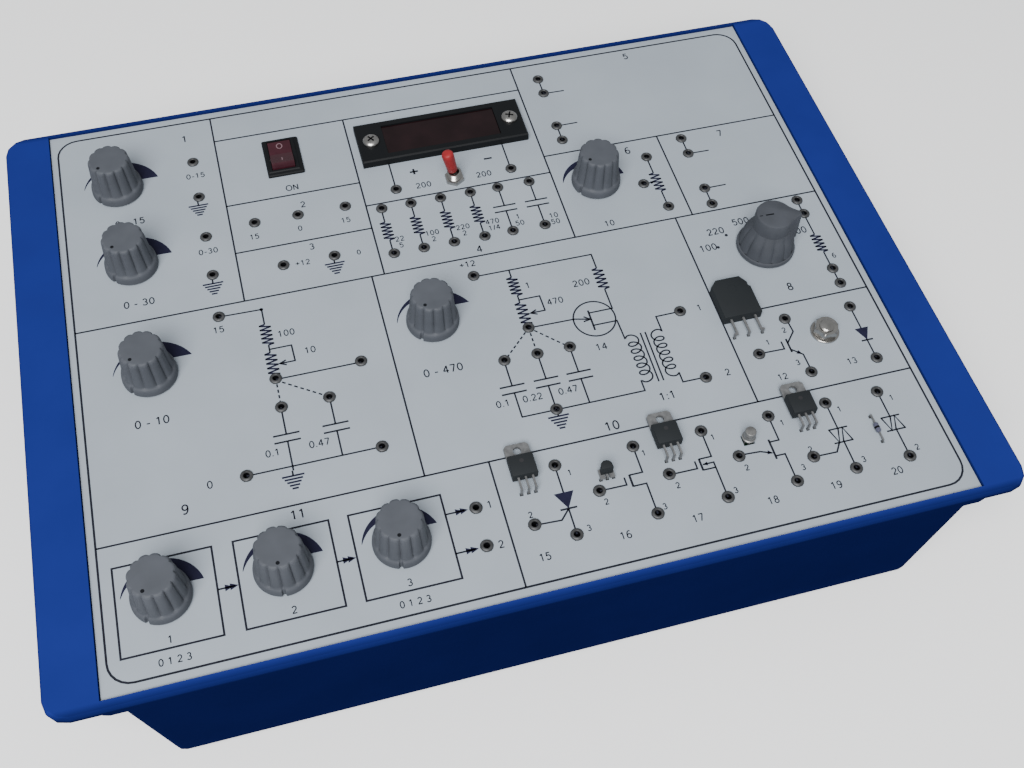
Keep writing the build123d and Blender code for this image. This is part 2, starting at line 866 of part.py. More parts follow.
def meter_screws():
    crown = meter_head_height / 2
    edge = meter_head_radius - crown
    rings = [(meter_head_radius, 0), (meter_head_radius, crown), (edge, meter_head_height)]
    head = turned(rings, round_sides)
    shank = bar(meter_screw_radius, meter_screw_length, screw_sides, -meter_screw_length)
    one = Pos(meter_x, meter_y, panel_top + meter_height) * (head + shank)
    return group(Pos(side * meter_screw_span / 2, 0, 0) * one for side in (-1, 1))


# Mains inlet

def mains_inlet():
    """Built facing +Y, with the flange's back at y = 0."""
    flange = Box(inlet_flange_width, inlet_flange_thickness, inlet_flange_height)
    flange = chamfer(flange.edges().filter_by(Axis.Y), inlet_corner)
    inlet = Pos(0, inlet_flange_thickness / 2, 0) * flange
    inlet += Pos(0, -inlet_body_depth / 2, 0) * Box(inlet_body_width, inlet_body_depth, inlet_body_height)
    cavity = Box(inlet_cavity_width, inlet_cavity_depth, inlet_cavity_height)
    cavity = chamfer(cavity.edges().filter_by(Axis.Y).group_by(Axis.Z)[-1], inlet_key)
    inlet -= Pos(0, inlet_flange_thickness - inlet_cavity_depth / 2, 0) * cavity
    for side in (-1, 1):
        drill = Rot(90, 0, 0) * bar(screw_radius + screw_clearance, 4 * wall, screw_sides, -2 * wall)
        inlet -= Pos(side * inlet_screw_span / 2, 0, 0) * drill
    for x, z in blade_places():
        inlet -= Pos(x, -inlet_body_depth, z) * Box(blade_width, 2 * inlet_body_depth, blade_height)
    return Pos(inlet_x, inlet_seat_y(), inlet_z) * inlet


def blade_places():
    return [(-blade_spread, -blade_rise), (blade_spread, -blade_rise), (0, blade_rise)]


def inlet_blades():
    near = inlet_flange_thickness - inlet_cavity_depth + blade_length
    length = near + inlet_body_depth + blade_tail
    blade = Box(blade_width, length, blade_height, align=(Align.CENTER, Align.MAX, Align.CENTER))
    place = Pos(inlet_x, inlet_seat_y() + near, inlet_z)
    return group(place * Pos(x, 0, z) * blade for x, z in blade_places())


# Mains transformer

def core_hole_places():
    x = core_width / 2 + core_foot_reach / 2
    return [(core_x - x, core_y), (core_x + x, core_y)]


def transformer_core():
    stack = Box(core_width, core_depth, core_height, align=UP)
    window = (core_width - 2 * core_leg - core_centre_leg) / 2
    for side in (-1, 1):
        x = side * (core_centre_leg + window) / 2
        stack -= Pos(x, 0, core_yoke) * Box(window, core_depth, core_height - 2 * core_yoke, align=UP)
    feet = Box(core_width + 2 * core_foot_reach, core_depth, core_foot_thickness, align=UP)
    for side in (-1, 1):
        x = side * (core_width + core_foot_reach) / 2
        feet -= Pos(x, 0, 0) * bar(screw_radius + screw_clearance, core_foot_thickness, screw_sides, 0)
    return Pos(core_x, core_y, cover_top) * (stack + feet)


def transformer_winding():
    window = (core_width - 2 * core_leg - core_centre_leg) / 2
    width = core_centre_leg + 2 * (window - winding_gap)
    height = core_height - 2 * core_yoke - 2 * winding_gap
    coil = Box(width, core_depth + 2 * winding_bulge, height, align=UP)
    coil = chamfer(coil.edges().filter_by(Axis.Z), winding_corner)
    leg = Box(core_centre_leg + 2 * winding_gap, core_depth + 2 * winding_gap, height, align=UP)
    return Pos(core_x, core_y, cover_top + core_yoke + winding_gap) * (coil - leg)


# Supply board

def supply_hole_places():
    x = supply_width / 2 - supply_hole_inset
    y = supply_depth / 2 - supply_hole_inset
    return [(supply_x + sx * x, supply_y + sy * y) for sx in (-1, 1) for sy in (-1, 1)]


supply_bottom = cover_top + supply_rise
supply_top = supply_bottom + board_thickness


def supply_board():
    sheet = Pos(supply_x, supply_y) * Rectangle(supply_width, supply_depth)
    for x, y in supply_hole_places():
        sheet -= Pos(x, y) * RegularPolygon(screw_radius + screw_clearance, screw_sides)
    return Pos(0, 0, supply_bottom) * extrude(sheet, board_thickness)


def supply_capacitors():
    can = bar(capacitor_radius, capacitor_height, round_sides, 0)
    row = [(i - 1) * capacitor_pitch for i in range(3)]
    return group(Pos(supply_x + x, supply_y - supply_depth / 4, supply_top) * can for x in row)


def heat_sink():
    plate = Box(sink_width, sink_base, sink_height, align=UP)
    for i in range(sink_fin_count):
        x = (i / (sink_fin_count - 1) - 0.5) * (sink_width - sink_fin)
        y = (sink_base + sink_fin_reach) / 2
        plate += Pos(x, y, 0) * Box(sink_fin, sink_fin_reach, sink_height, align=UP)
    return Pos(supply_x, supply_y + supply_depth / 4, supply_top) * plate


def fuse():
    tube = Rot(90, 0, 0) * bar(fuse_radius, fuse_length, coarse_sides, -fuse_length / 2)
    clip = Box(2 * fuse_radius, sink_fin, fuse_rise, align=UP)
    x = supply_x - supply_width / 2 + 3 * fuse_radius
    piece = Pos(x, supply_y, supply_top + fuse_rise) * tube
    for side in (-1, 1):
        piece += Pos(x, supply_y + side * fuse_length / 3, supply_top) * clip
    return piece


# Pieces under the main board

def load_resistors():
    block = Box(*load_resistor_size, align=DOWN)
    x, y = selector_place
    row = [(i - (load_resistor_count - 1) / 2) * load_resistor_pitch for i in range(load_resistor_count)]
    return group(Pos(x + dx, y, board_bottom) * block for dx in row)


def firing_chips():
    chip = Box(*chip_size, align=DOWN)
    names = ("phase", "width", "gain")
    places = [control_places[name] for name in names]
    return group(Pos(x, y, board_bottom) * chip for x, y in places)


# Sample devices

def bent_lead(start_x, start_y, start_z, end_x, end_y, size):
    """A square lead: forward out of the body, then down through the panel."""
    forward = Pos(start_x, (start_y + end_y) / 2 - size / 4, start_z) * Box(
        size, start_y - end_y + size / 2, size
    )
    drop = Pos(end_x, end_y, board_top) * Box(size, size, start_z + size / 2 - board_top, align=UP)
    if abs(end_x - start_x) > 0.01:
        joggle = Pos((start_x + end_x) / 2, end_y, start_z) * Box(abs(end_x - start_x) + size, size, size)
        return forward + joggle + drop
    return forward + drop


def power_package():
    block = Box(power_width, power_length, power_thickness, align=UP)
    corners = block.edges().filter_by(Axis.Z).group_by(Axis.Y)[-1]
    block = chamfer(corners, power_chamfer)
    rim = block.edges().group_by(Axis.Z)[-1]
    block = chamfer(rim, 0.7)
    hole_y = power_length / 2 - 6.0
    hole_floor = power_thickness - power_hole_depth
    block -= Pos(0, hole_y, 0) * bar(power_hole, power_hole_depth, coarse_sides, hole_floor)
    return Pos(power_x, power_y, panel_top + power_rise) * block


def power_leads():
    near = power_y - power_length / 2
    z = panel_top + power_rise + power_thickness / 2
    leads = []
    for i in (-1, 0, 1):
        start_x = power_x + i * power_lead_spread
        end_x = power_x + i * power_lead_pitch
        leads.append(bent_lead(start_x, near, z, end_x, near - power_lead_reach, lead_size))
    return leads


def small_packages():
    block = Box(small_width, small_body_length, small_thickness, align=UP)
    block = chamfer(block.edges().group_by(Axis.Z)[-1], 0.5)
    return [Pos(x, y + small_body_length / 2, panel_top + small_rise) * block for x, y in small_fronts]


def small_lead_frames():
    """A tab at the back and three leads at the front of each small package."""
    tab = Rectangle(small_width, small_tab_length)
    tab = chamfer(tab.vertices().group_by(Axis.Y)[-1], small_tab_corner)
    tab = extrude(tab - RegularPolygon(small_tab_hole, coarse_sides), small_tab_thickness)
    z = panel_top + small_rise + small_thickness / 2
    pieces = []
    for x, y in small_fronts:
        far = y + small_body_length
        pieces.append(Pos(x, far + small_tab_length / 2, panel_top + small_rise) * tab)
        for i in (-1, 0, 1):
            lead_x = x + i * small_lead_pitch
            pieces.append(bent_lead(lead_x, y, z, lead_x, y - small_lead_reach, small_lead_size))
    return pieces


def fet_package():
    body = Rectangle(fet_width, fet_depth)
    body = chamfer(body.vertices().group_by(Axis.Y)[-1], fet_corner)
    return Pos(fet_x, fet_y, panel_top + small_rise) * extrude(body, fet_height)


def fet_leads():
    z = panel_top + small_rise - small_lead_size / 2
    pieces = []
    for i in (-1, 0, 1):
        x = fet_x + i * 2.6
        y = fet_y - fet_depth / 2 - 1.0
        span = small_lead_size + abs(i) * 1.3
        reach = Pos(fet_x + i * 1.95, fet_y - 1.4, z) * Box(span, fet_depth + 0.6, small_lead_size)
        drop = Pos(x, y, board_top) * Box(small_lead_size, small_lead_size, z - board_top, align=UP)
        pieces.append(reach + drop)
    return pieces


def ujt_can():
    z = panel_top + small_rise
    rings = [(can_radius, 0), (can_radius, can_height - can_edge), (can_radius - can_edge, can_height)]
    can = turned(rings, round_sides) + bar(can_flange_radius, can_flange_height, round_sides, 0)
    return Pos(can_x, can_y, z) * can


def can_leads():
    places = [(can_x - 1.3, can_y), (can_x + 1.3, can_y), (can_x, can_y - 1.4)]
    height = panel_top + small_rise - board_top
    lead = Box(0.6, 0.6, height, align=UP)
    return [Pos(x, y, board_top) * lead for x, y in places]


def diode_stud():
    hexagon = extrude(RegularPolygon(across(stud_hex_width), 6), stud_hex_height)
    piece = Pos(0, 0, panel_bottom - stud_hex_height) * hexagon
    low = panel_bottom - stud_hex_height - stud_cap_height
    piece += bar(stud_cap_radius, stud_cap_height, coarse_sides, low)
    piece += bar(stud_radius, panel_thickness + stud_rise, coarse_sides, panel_bottom)
    return Pos(stud_x, stud_y, 0) * piece


def diode_washer():
    ring = RegularPolygon(stud_washer_radius, round_sides)
    ring -= RegularPolygon(stud_radius + nut_fit, coarse_sides)
    return Pos(stud_x, stud_y, panel_top) * extrude(ring, stud_washer_height)


def diode_nut():
    ring = RegularPolygon(across(stud_nut_width), 6) - RegularPolygon(stud_radius + nut_fit, coarse_sides)
    return Pos(stud_x, stud_y, panel_top + stud_washer_height) * extrude(ring, stud_nut_height)


def diac_body():
    body = Rot(90, 0, 0) * bar(diac_radius, diac_length, coarse_sides, -diac_length / 2)
    return Pos(diac_x, diac_y, panel_top + diac_radius + 0.2) * body


def diac_leads():
    pieces = []
    z = panel_top + diac_radius + 0.2
    for side in (-1, 1):
        far = diac_y + side * diac_span / 2
        near = diac_y + side * diac_length / 2
        run = Pos(diac_x, (near + far) / 2, z) * Box(0.6, abs(far - near) + 0.6, 0.6)
        drop = Pos(diac_x, far, board_top) * Box(0.6, 0.6, z - board_top, align=UP)
        run = run & Pos(diac_x, (near + far + side * 0.6) / 2, z) * Box(2, abs(far - near) + 0.6, 2)
        pieces.append(run + drop)
    return pieces


def device_leads():
    return group(power_leads() + small_lead_frames() + fet_leads() + can_leads() + diac_leads())


os.makedirs("parts", exist_ok=True)

export(body_shell(), "body_shell")
export(front_panel(), "front_panel")
export(bottom_cover(), "bottom_cover")
export(rubber_feet(), "rubber_feet")
export(case_screws(), "case_screws")
export(main_board(), "main_board")
export(board_spacers(), "board_spacers")

for name, places in socket_groups.items():
    export(sockets(places), name)

bodies = [Pos(x, y, 0) * potentiometer_body() for x, y in control_places.values()]
export(group(bodies), "potentiometer_bodies")
export(selector_body(), "selector_body")

knob_bottom = panel_top + knob_panel_gap
for name, (x, y) in control_places.items():
    top = knob_bottom + knob_height - knob_crown - shaft_fit
    export(Pos(x, y, 0) * shaft(top), f"{name}_shaft")
    export(Pos(x, y, knob_bottom) * fluted_knob(pointer_angles[name]), f"{name}_knob")
selector_x, selector_y = selector_place
top = knob_bottom + selector_height - knob_crown - shaft_fit
export(Pos(selector_x, selector_y, 0) * shaft(top), "load_shaft")
export(Pos(selector_x, selector_y, knob_bottom) * selector_knob(), "load_knob")

export(rocker_housing(), "rocker_housing")
export(rocker(), "rocker")
export(toggle_body(), "toggle_body")
export(toggle_nut(), "toggle_nut")
export(toggle_lever(), "toggle_lever")
export(toggle_sleeve(), "toggle_sleeve")

export(meter_bezel(), "meter_bezel")
export(meter_window(), "meter_window")
export(meter_display(), "meter_display")
export(meter_screws(), "meter_screws")

export(mains_inlet(), "mains_inlet")
export(inlet_blades(), "inlet_blades")
export(transformer_core(), "transformer_core")
export(transformer_winding(), "transformer_winding")
export(supply_board(), "supply_board")
export(supply_capacitors(), "supply_capacitors")
export(heat_sink(), "heat_sink")
export(fuse(), "fuse")
export(load_resistors(), "load_resistors")
export(firing_chips(), "firing_chips")

export(power_package(), "power_package")
export(group(small_packages() + [fet_package()]), "small_packages")
export(ujt_can(), "ujt_can")
export(diode_stud(), "diode_stud")
export(group([diode_washer(), diode_nut()]), "diode_hardware")
export(diac_body(), "diac_body")
export(device_leads(), "device_leads")
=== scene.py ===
import bpy
import math
from mathutils import Matrix, Vector


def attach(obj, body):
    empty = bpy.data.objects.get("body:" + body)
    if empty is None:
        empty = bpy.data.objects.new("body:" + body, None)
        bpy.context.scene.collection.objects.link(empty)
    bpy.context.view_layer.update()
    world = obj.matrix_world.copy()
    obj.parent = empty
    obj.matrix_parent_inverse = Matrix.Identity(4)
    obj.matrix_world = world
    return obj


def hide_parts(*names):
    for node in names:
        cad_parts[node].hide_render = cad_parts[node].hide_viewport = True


# A power electronics trainer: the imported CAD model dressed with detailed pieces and
# finishes. Sizes below are in millimetres and become metres when a mesh is made.

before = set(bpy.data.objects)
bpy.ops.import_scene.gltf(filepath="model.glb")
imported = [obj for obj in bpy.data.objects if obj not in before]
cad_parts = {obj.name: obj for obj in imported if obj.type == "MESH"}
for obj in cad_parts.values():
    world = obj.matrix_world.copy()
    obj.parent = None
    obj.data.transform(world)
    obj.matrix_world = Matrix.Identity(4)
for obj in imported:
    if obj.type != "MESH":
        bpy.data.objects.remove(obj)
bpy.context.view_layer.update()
scene = bpy.context.scene

MM = 0.001
TURN = 2 * math.pi

# Heights shared with the CAD model, and the height of the print just over the panel
PANEL = 67.0
KNOB_BOTTOM = 67.6
BEZEL_TOP = PANEL + 4.0
DEVICE_FOOT = 69.0
PRINT = PANEL + 0.06

# Middles of the knobs, the same as in the CAD model
KNOBS = {
    "low_supply": (-142.6, 100.4),
    "high_supply": (-140.9, 54.4),
    "rc_firing": (-139.4, -4.6),
    "ujt_firing": (-21.3, -6.2),
    "divider": (70.0, 53.4),
    "phase": (-145.7, -103.4),
    "width": (-101.0, -103.6),
    "gain": (-56.2, -103.8),
}

# Where each knob points at rest, in degrees from +X
POINTER = {
    "low_supply": 224, "high_supply": 226, "rc_firing": 227, "ujt_firing": 232,
    "divider": 212, "phase": 238, "width": 263, "gain": 257,
}
SELECTOR_POINTER = -10

# The tip of the claw printed round each knob, measured from the knob's middle
CLAW = {
    "low_supply": (18.2, 3.7), "high_supply": (17.4, 3.5),
    "rc_firing": (17.6, 6.4), "ujt_firing": (17.5, 6.4),
    "divider": (14.4, 2.0), "phase": (15.7, 3.7),
    "width": (15.4, 3.8), "gain": (14.7, 4.8),
}

# Middles of the other pieces on the panel, the same as in the CAD model (X alone for the tab devices)
SELECTOR = (132.2, -1.8)
ROCKER = (-67.9, 102.6)
TOGGLE = (6.9, 70.5)
METER = (7.3, 98.8)
METER_SCREW_REACH = 33.4
POWER_HOLE = (107.2, -23.8)
TAB_DEVICES = (-4.0, 55.7, 113.6)
LEAD_DEVICE = (27.6, -94.0)
CAN = (88.0, -94.0)
STUD = (139.6, -52.0)
BEAD = (140.8, -102.2)

# How far the two switches lean to one side at rest
ROCKER_TILT = math.radians(9)
TOGGLE_TILT = math.radians(12)

# Painted shade on the case: its blue is darkened to navy downwards past its top and outwards past
# its front and back edges: where the darkening ends, where it starts and the share of the colour that
# stays
PAINTED_WALL_SHADE = (66.2, 68.2, 0.45)
PAINTED_EDGE_SHADE = (140.4, 137.6, 0.5)


# Finishes

def finish(name, colour, roughness=0.5, metallic=0.0, mottle=0.06, patch=25.0,
           grain=0.1, grain_size=0.6, coat=0.0, wear=0.12, deep=0.0, sheen=0.22):
    """A surface with soft colour patches, a fine grain and an uneven polish."""
    material = bpy.data.materials.new(name)
    material.use_nodes = True
    nodes = material.node_tree.nodes
    links = material.node_tree.links
    shader = nodes["Principled BSDF"]
    shader.inputs["Metallic"].default_value = metallic
    shader.inputs["Coat Weight"].default_value = coat
    shader.inputs["Transmission Weight"].default_value = deep
    shader.inputs["Specular IOR Level"].default_value = sheen
    place = nodes.new("ShaderNodeTexCoord")
    patches = nodes.new("ShaderNodeTexNoise")
    patches.inputs["Scale"].default_value = 1 / (patch * MM)
    patches.inputs["Detail"].default_value = 4
    links.new(place.outputs["Object"], patches.inputs["Vector"])
    ramp = nodes.new("ShaderNodeValToRGB")
    ramp.color_ramp.elements[0].position = 0.3
    ramp.color_ramp.elements[1].position = 0.7
    ramp.color_ramp.elements[0].color = [c * (1 - mottle) for c in colour] + [1]
    ramp.color_ramp.elements[1].color = [min(c * (1 + mottle), 1) for c in colour] + [1]
    links.new(patches.outputs["Fac"], ramp.inputs["Fac"])
    links.new(ramp.outputs["Color"], shader.inputs["Base Color"])
    fine = nodes.new("ShaderNodeTexNoise")
    fine.inputs["Scale"].default_value = 1 / (grain_size * MM)
    fine.inputs["Detail"].default_value = 3
    links.new(place.outputs["Object"], fine.inputs["Vector"])
    polish = nodes.new("ShaderNodeMapRange")
    polish.inputs["To Min"].default_value = max(roughness - wear, 0.03)
    polish.inputs["To Max"].default_value = min(roughness + wear, 1)
    links.new(patches.outputs["Fac"], polish.inputs["Value"])
    links.new(polish.outputs["Result"], shader.inputs["Roughness"])
    bump = nodes.new("ShaderNodeBump")
    bump.inputs["Strength"].default_value = grain
    bump.inputs["Distance"].default_value = 0.1 * MM
    links.new(fine.outputs["Fac"], bump.inputs["Height"])
    links.new(bump.outputs["Normal"], shader.inputs["Normal"])
    return material


def paint_case_shade(material):
    """Paint shade into a finish: darken it to navy on the case's walls and on its rolled front and back
    edges.
    """
    nodes = material.node_tree.nodes
    links = material.node_tree.links
    shader = nodes["Principled BSDF"]
    colour = shader.inputs["Base Color"].links[0].from_socket
    place = nodes.new("ShaderNodeTexCoord")
    split = nodes.new("ShaderNodeSeparateXYZ")
    links.new(place.outputs["Object"], split.inputs["Vector"])
    depth = nodes.new("ShaderNodeMath")
    depth.operation = "ABSOLUTE"
    links.new(split.outputs["Y"], depth.inputs[0])
    shades = ((split.outputs["Z"], PAINTED_WALL_SHADE), (depth.outputs[0], PAINTED_EDGE_SHADE))
    # Painted shade: the colour is scaled down by height, and by distance from the middle towards front and
    # back
    for source, (last, first, share) in shades:
        fade = nodes.new("ShaderNodeMapRange")
        fade.inputs["From Min"].default_value = last * MM
        fade.inputs["From Max"].default_value = first * MM
        fade.inputs["To Min"].default_value = share
        fade.inputs["To Max"].default_value = 1.0
        links.new(source, fade.inputs["Value"])
        shading = nodes.new("ShaderNodeVectorMath")
        shading.operation = "SCALE"
        links.new(colour, shading.inputs[0])
        links.new(fade.outputs["Result"], shading.inputs["Scale"])
        colour = shading.outputs["Vector"]
    links.new(colour, shader.inputs["Base Color"])


blue = finish("blue_case", (0.0115, 0.0200, 0.142), 0.55, grain=0.25, grain_size=0.5, mottle=0.05,
              wear=0.05, sheen=0.0)
# Painted shade: the case's blue darkens to navy on its walls and on its front and back edges
paint_case_shade(blue)
laminate = finish("white_laminate", (0.262, 0.295, 0.333), 0.45, mottle=0.05, patch=45, grain=0.05)
ink = finish("black_ink", (0.010, 0.011, 0.017), 0.6, mottle=0.2, patch=3, grain=0.05, sheen=0.1)
indigo = finish("indigo_ink", (0.010, 0.010, 0.026), 0.6, mottle=0.15, patch=3, grain=0.05, sheen=0.1)
rubber = finish("rubber", (0.02, 0.02, 0.02), 0.8, grain=0.3)
steel = finish("plated_steel", (0.36, 0.35, 0.335), 0.26, metallic=1, mottle=0.12, patch=3)
socket_metal = finish("socket_metal", (0.055, 0.056, 0.058), 0.45, metallic=0.45, mottle=0.25, patch=2)
can_metal = finish("can_metal", (0.17, 0.17, 0.168), 0.38, metallic=0.6, mottle=0.25, patch=2)
tin = finish("tinned_leads", (0.15, 0.152, 0.155), 0.42, metallic=0.5, mottle=0.2, patch=2)
# Near black: painted shade in holes, bores and screw slots, and also the diac's own dark band
dark = finish("painted_hole_shade_and_band", (0.004, 0.004, 0.005), 0.8, sheen=0.03)
black = finish("black_plastic", (0.0055, 0.0062, 0.0072), 0.5, grain=0.3, grain_size=0.4, sheen=0.12)
epoxy = finish("moulded_epoxy", (0.0140, 0.0162, 0.0182), 0.6, grain=0.4, grain_size=0.25, sheen=0.15)
grey = finish("grey_knob", (0.056, 0.061, 0.072), 0.6, mottle=0.08, patch=8, grain=0.35, grain_size=0.35)
slate = finish("slate_knob", (0.043, 0.047, 0.056), 0.6, mottle=0.12, patch=8, grain=0.35, grain_size=0.35)
mark = finish("knob_mark", (0.005, 0.006, 0.008), 0.7, sheen=0.1)
red_lens = finish("red_rocker", (0.030, 0.0060, 0.0105), 0.3, mottle=0.2, patch=6, sheen=0.3)
red = finish("red_sleeve", (0.22, 0.015, 0.017), 0.45, mottle=0.15, patch=3, grain=0.3)
window = finish("dark_red_window", (0.0085, 0.0032, 0.004), 0.12, mottle=0.3, patch=12, grain=0.02,
                sheen=0.25)
white_mark = finish("white_mark", (0.16, 0.10, 0.115), 0.5)
board_green = finish("board_green", (0.02, 0.12, 0.05), 0.4, sheen=0.5)
brass = finish("brass", (0.62, 0.45, 0.16), 0.3, metallic=1)
lamination = finish("core_steel", (0.22, 0.22, 0.23), 0.5, metallic=0.8)
tape = finish("winding_tape", (0.65, 0.50, 0.16), 0.5, coat=0.2)
sleeve = finish("capacitor_sleeve", (0.02, 0.025, 0.07), 0.4)
aluminium = finish("aluminium", (0.70, 0.71, 0.72), 0.35, metallic=1)
glass = finish("fuse_glass", (0.8, 0.84, 0.86), 0.08, deep=0.9, sheen=0.5)
cement = finish("cement", (0.72, 0.70, 0.64), 0.85, grain=0.5)
bead = finish("bead_glass", (0.06, 0.063, 0.095), 0.2, coat=0.3)
chip_face = finish("chip", (0.02, 0.02, 0.022), 0.5)

# The pieces that keep their CAD form, with the finish of each
CARRIED = {
    "front_panel": laminate, "bottom_cover": blue, "body_shell": blue,
    "rubber_feet": rubber, "case_screws": steel, "main_board": board_green,
    "board_spacers": brass, "potentiometer_bodies": steel, "selector_body": black,
    "rocker_housing": black, "rocker": red_lens, "toggle_body": steel, "meter_bezel": black,
    "meter_window": window, "meter_display": black, "mains_inlet": black,
    "inlet_blades": brass, "transformer_core": lamination, "transformer_winding": tape,
    "supply_board": board_green, "supply_capacitors": sleeve, "heat_sink": aluminium,
    "fuse": glass, "load_resistors": cement, "firing_chips": chip_face,
    "diode_stud": steel, "device_leads": tin, "load_shaft": aluminium,
}
for name in KNOBS:
    CARRIED[f"{name}_shaft"] = aluminium

# The width of the softened edges on some of them
SOFT_EDGES = {
    "body_shell": 0.5, "bottom_cover": 0.3, "rubber_feet": 0.5, "meter_bezel": 0.3,
    "rocker_housing": 0.25, "rocker": 0.3, "mains_inlet": 0.3,
}


def carry(node, material, bevel=0.0):
    """Keep a CAD node, with a better finish and, if asked, softened edges."""
    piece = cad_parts[node]
    for slot in piece.material_slots:
        slot.material = material
    if not piece.material_slots:
        piece.data.materials.append(material)
    if bevel:
        soft = piece.modifiers.new("soft_edges", "BEVEL")
        soft.width = bevel * MM
        soft.segments = 3
        soft.limit_method = "ANGLE"
        soft.angle_limit = math.radians(40)
        soft.harden_normals = True


# Shapes

# The least that a sharp corner is divided by, so that its mitre stays short
STROKE_MITRE = 0.16
INSET_MITRE = 0.3
# Vertices that share a place to a micrometre are one
MICRONS = 1e6


class Form:
    """Points and faces gathered in millimetres, made into one piece at the end."""

    def __init__(self):
        self.points = []
        self.faces = []
        self.slots = []
        self.place = Matrix.Identity(4)

    def point(self, x, y, z):
        self.points.append(self.place @ Vector((x, y, z)))
        return len(self.points) - 1

    def face(self, corners, slot=0):
        self.faces.append(tuple(corners))
        self.slots.append(slot)

    def rings(self, rings, slot=0, low=True, high=True):
        """A skin through rings with equal numbers of points, closed at its ends if asked."""
        rows = [[self.point(*p) for p in ring] for ring in rings]
        count = len(rows[0])
        for a, b in zip(rows, rows[1:]):
            for i in range(count):
                j = (i + 1) % count
                self.face((a[i], a[j], b[j], b[i]), slot)
        if low:
            self.face(reversed(rows[0]), slot)
        if high:
            self.face(rows[-1], slot)

    def lathe(self, profile, x=0.0, y=0.0, z=0.0, steps=32, slot=0, low=True, high=True):
        """A round form: the profile is a list of (radius, height)."""
        rings = []
        for radius, height in profile:
            rings.append([(px, py, z + height) for px, py in oval(x, y, radius, radius, steps)])
        self.rings(rings, slot, low, high)

    def slab(self, outline, low, high, edge=0.0, slot=0):
        """An outline pushed up from one height to another, its top edge softened."""
        rings = [[(x, y, low) for x, y in outline]]
        if edge:
            rings.append([(x, y, high - edge) for x, y in outline])
            rings.append([(x, y, high - 0.3 * edge) for x, y in inset(outline, 0.3 * edge)])
            rings.append([(x, y, high) for x, y in inset(outline, edge)])
        else:
            rings.append([(x, y, high) for x, y in outline])
        self.rings(rings, slot)

    def stroke(self, points, width, z=PRINT, closed=False, slot=0):
        """A flat printed line along points, with mitred corners."""
        count = len(points)
        left, right = [], []
        for i, (x, y) in enumerate(points):
            before = points[i - 1] if i or closed else None
            after = points[(i + 1) % count] if i < count - 1 or closed else None
            normals = []
            for a, b in ((before, (x, y)), ((x, y), after)):
                if a is None or b is None:
                    continue
                dx, dy = b[0] - a[0], b[1] - a[1]
                length = math.hypot(dx, dy) or 1
                normals.append((-dy / length, dx / length))
            nx = sum(n[0] for n in normals) / len(normals)
            ny = sum(n[1] for n in normals) / len(normals)
            size = max(nx * nx + ny * ny, STROKE_MITRE)
            nx, ny = nx / size * width / 2, ny / size * width / 2
            left.append(self.point(x + nx, y + ny, z))
            right.append(self.point(x - nx, y - ny, z))
        for i in range(count if closed else count - 1):
            j = (i + 1) % count
            self.face((right[i], right[j], left[j], left[i]), slot)

    def patch(self, outline, z=PRINT, slot=0):
        """A flat printed area."""
        self.face([self.point(x, y, z) for x, y in outline], slot)

    def dot(self, x, y, radius, z=PRINT, slot=0):
        """A filled circle."""
        self.patch(oval(x, y, radius, radius, 20), z, slot)

    def piece(self, name, body, materials, slot="", replaces=(), smooth=35):
        """Make the piece: edges sharper than `smooth` degrees stay sharp, and none is smooth at 0."""
        mesh = bpy.data.meshes.new(name)
        mesh.from_pydata([p * MM for p in self.points], [], self.faces)
        for material in materials:
            mesh.materials.append(material)
        for polygon, index in zip(mesh.polygons, self.slots):
            polygon.material_index = index
            polygon.use_smooth = smooth > 0
        mesh.update()
        if smooth:
            mesh.set_sharp_from_angle(angle=math.radians(smooth))
        made = bpy.data.objects.new(name, mesh)
        scene.collection.objects.link(made)
        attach(made, body)
        if replaces:
            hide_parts(*replaces)


def oval(x, y, across, deep, count):
    """Points round an ellipse, anticlockwise from +X."""
    points = []
    for i in range(count):
        angle = TURN * i / count
        points.append((x + across * math.cos(angle), y + deep * math.sin(angle)))
    return points


def inset(outline, distance):
    """An outline moved inwards, for outlines that run anticlockwise."""
    result = []
    count = len(outline)
    for i in range(count):
        ax, ay = outline[i - 1]
        bx, by = outline[i]
        cx, cy = outline[(i + 1) % count]
        one = Vector((bx - ax, by - ay)).normalized()
        two = Vector((cx - bx, cy - by)).normalized()
        normal = Vector((-one.y - two.y, one.x + two.x))
        size = max(normal.length_squared / 2, INSET_MITRE)
        result.append((bx + normal.x * distance / size, by + normal.y * distance / size))
    return result


def rounded(x, y, width, depth, radius, steps=6):
    """A rectangle with round corners, running anticlockwise."""
    points = []
    for quarter in range(4):
        sx = 1 if quarter in (0, 3) else -1
        sy = 1 if quarter in (0, 1) else -1
        for step in range(steps + 1):
            angle = math.radians(90 * (quarter + step / steps))
            points.append((x + sx * (width / 2 - radius) + radius * math.cos(angle),
                           y + sy * (depth / 2 - radius) + radius * math.sin(angle)))
    return points


def islands(node):
    """The low and high corner of each separate solid in a CAD node, in millimetres."""
    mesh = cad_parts[node].data
    parent = list(range(len(mesh.vertices)))

    def root(i):
        while parent[i] != i:
            parent[i] = parent[parent[i]]
            i = parent[i]
        return i

    keys = {}
    for vertex in mesh.vertices:
        key = tuple(round(c * MICRONS) for c in vertex.co)
        parent[root(vertex.index)] = root(keys.setdefault(key, vertex.index))
    for polygon in mesh.polygons:
        first = root(polygon.vertices[0])
        for index in polygon.vertices[1:]:
            parent[root(index)] = first
    groups = {}
    for vertex in mesh.vertices:
        groups.setdefault(root(vertex.index), []).append(vertex.co / MM)
    boxes = []
    for points in groups.values():
        low = Vector([min(p[i] for p in points) for i in range(3)])
        high = Vector([max(p[i] for p in points) for i in range(3)])
        boxes.append((low, high))
    return boxes


# Patch sockets

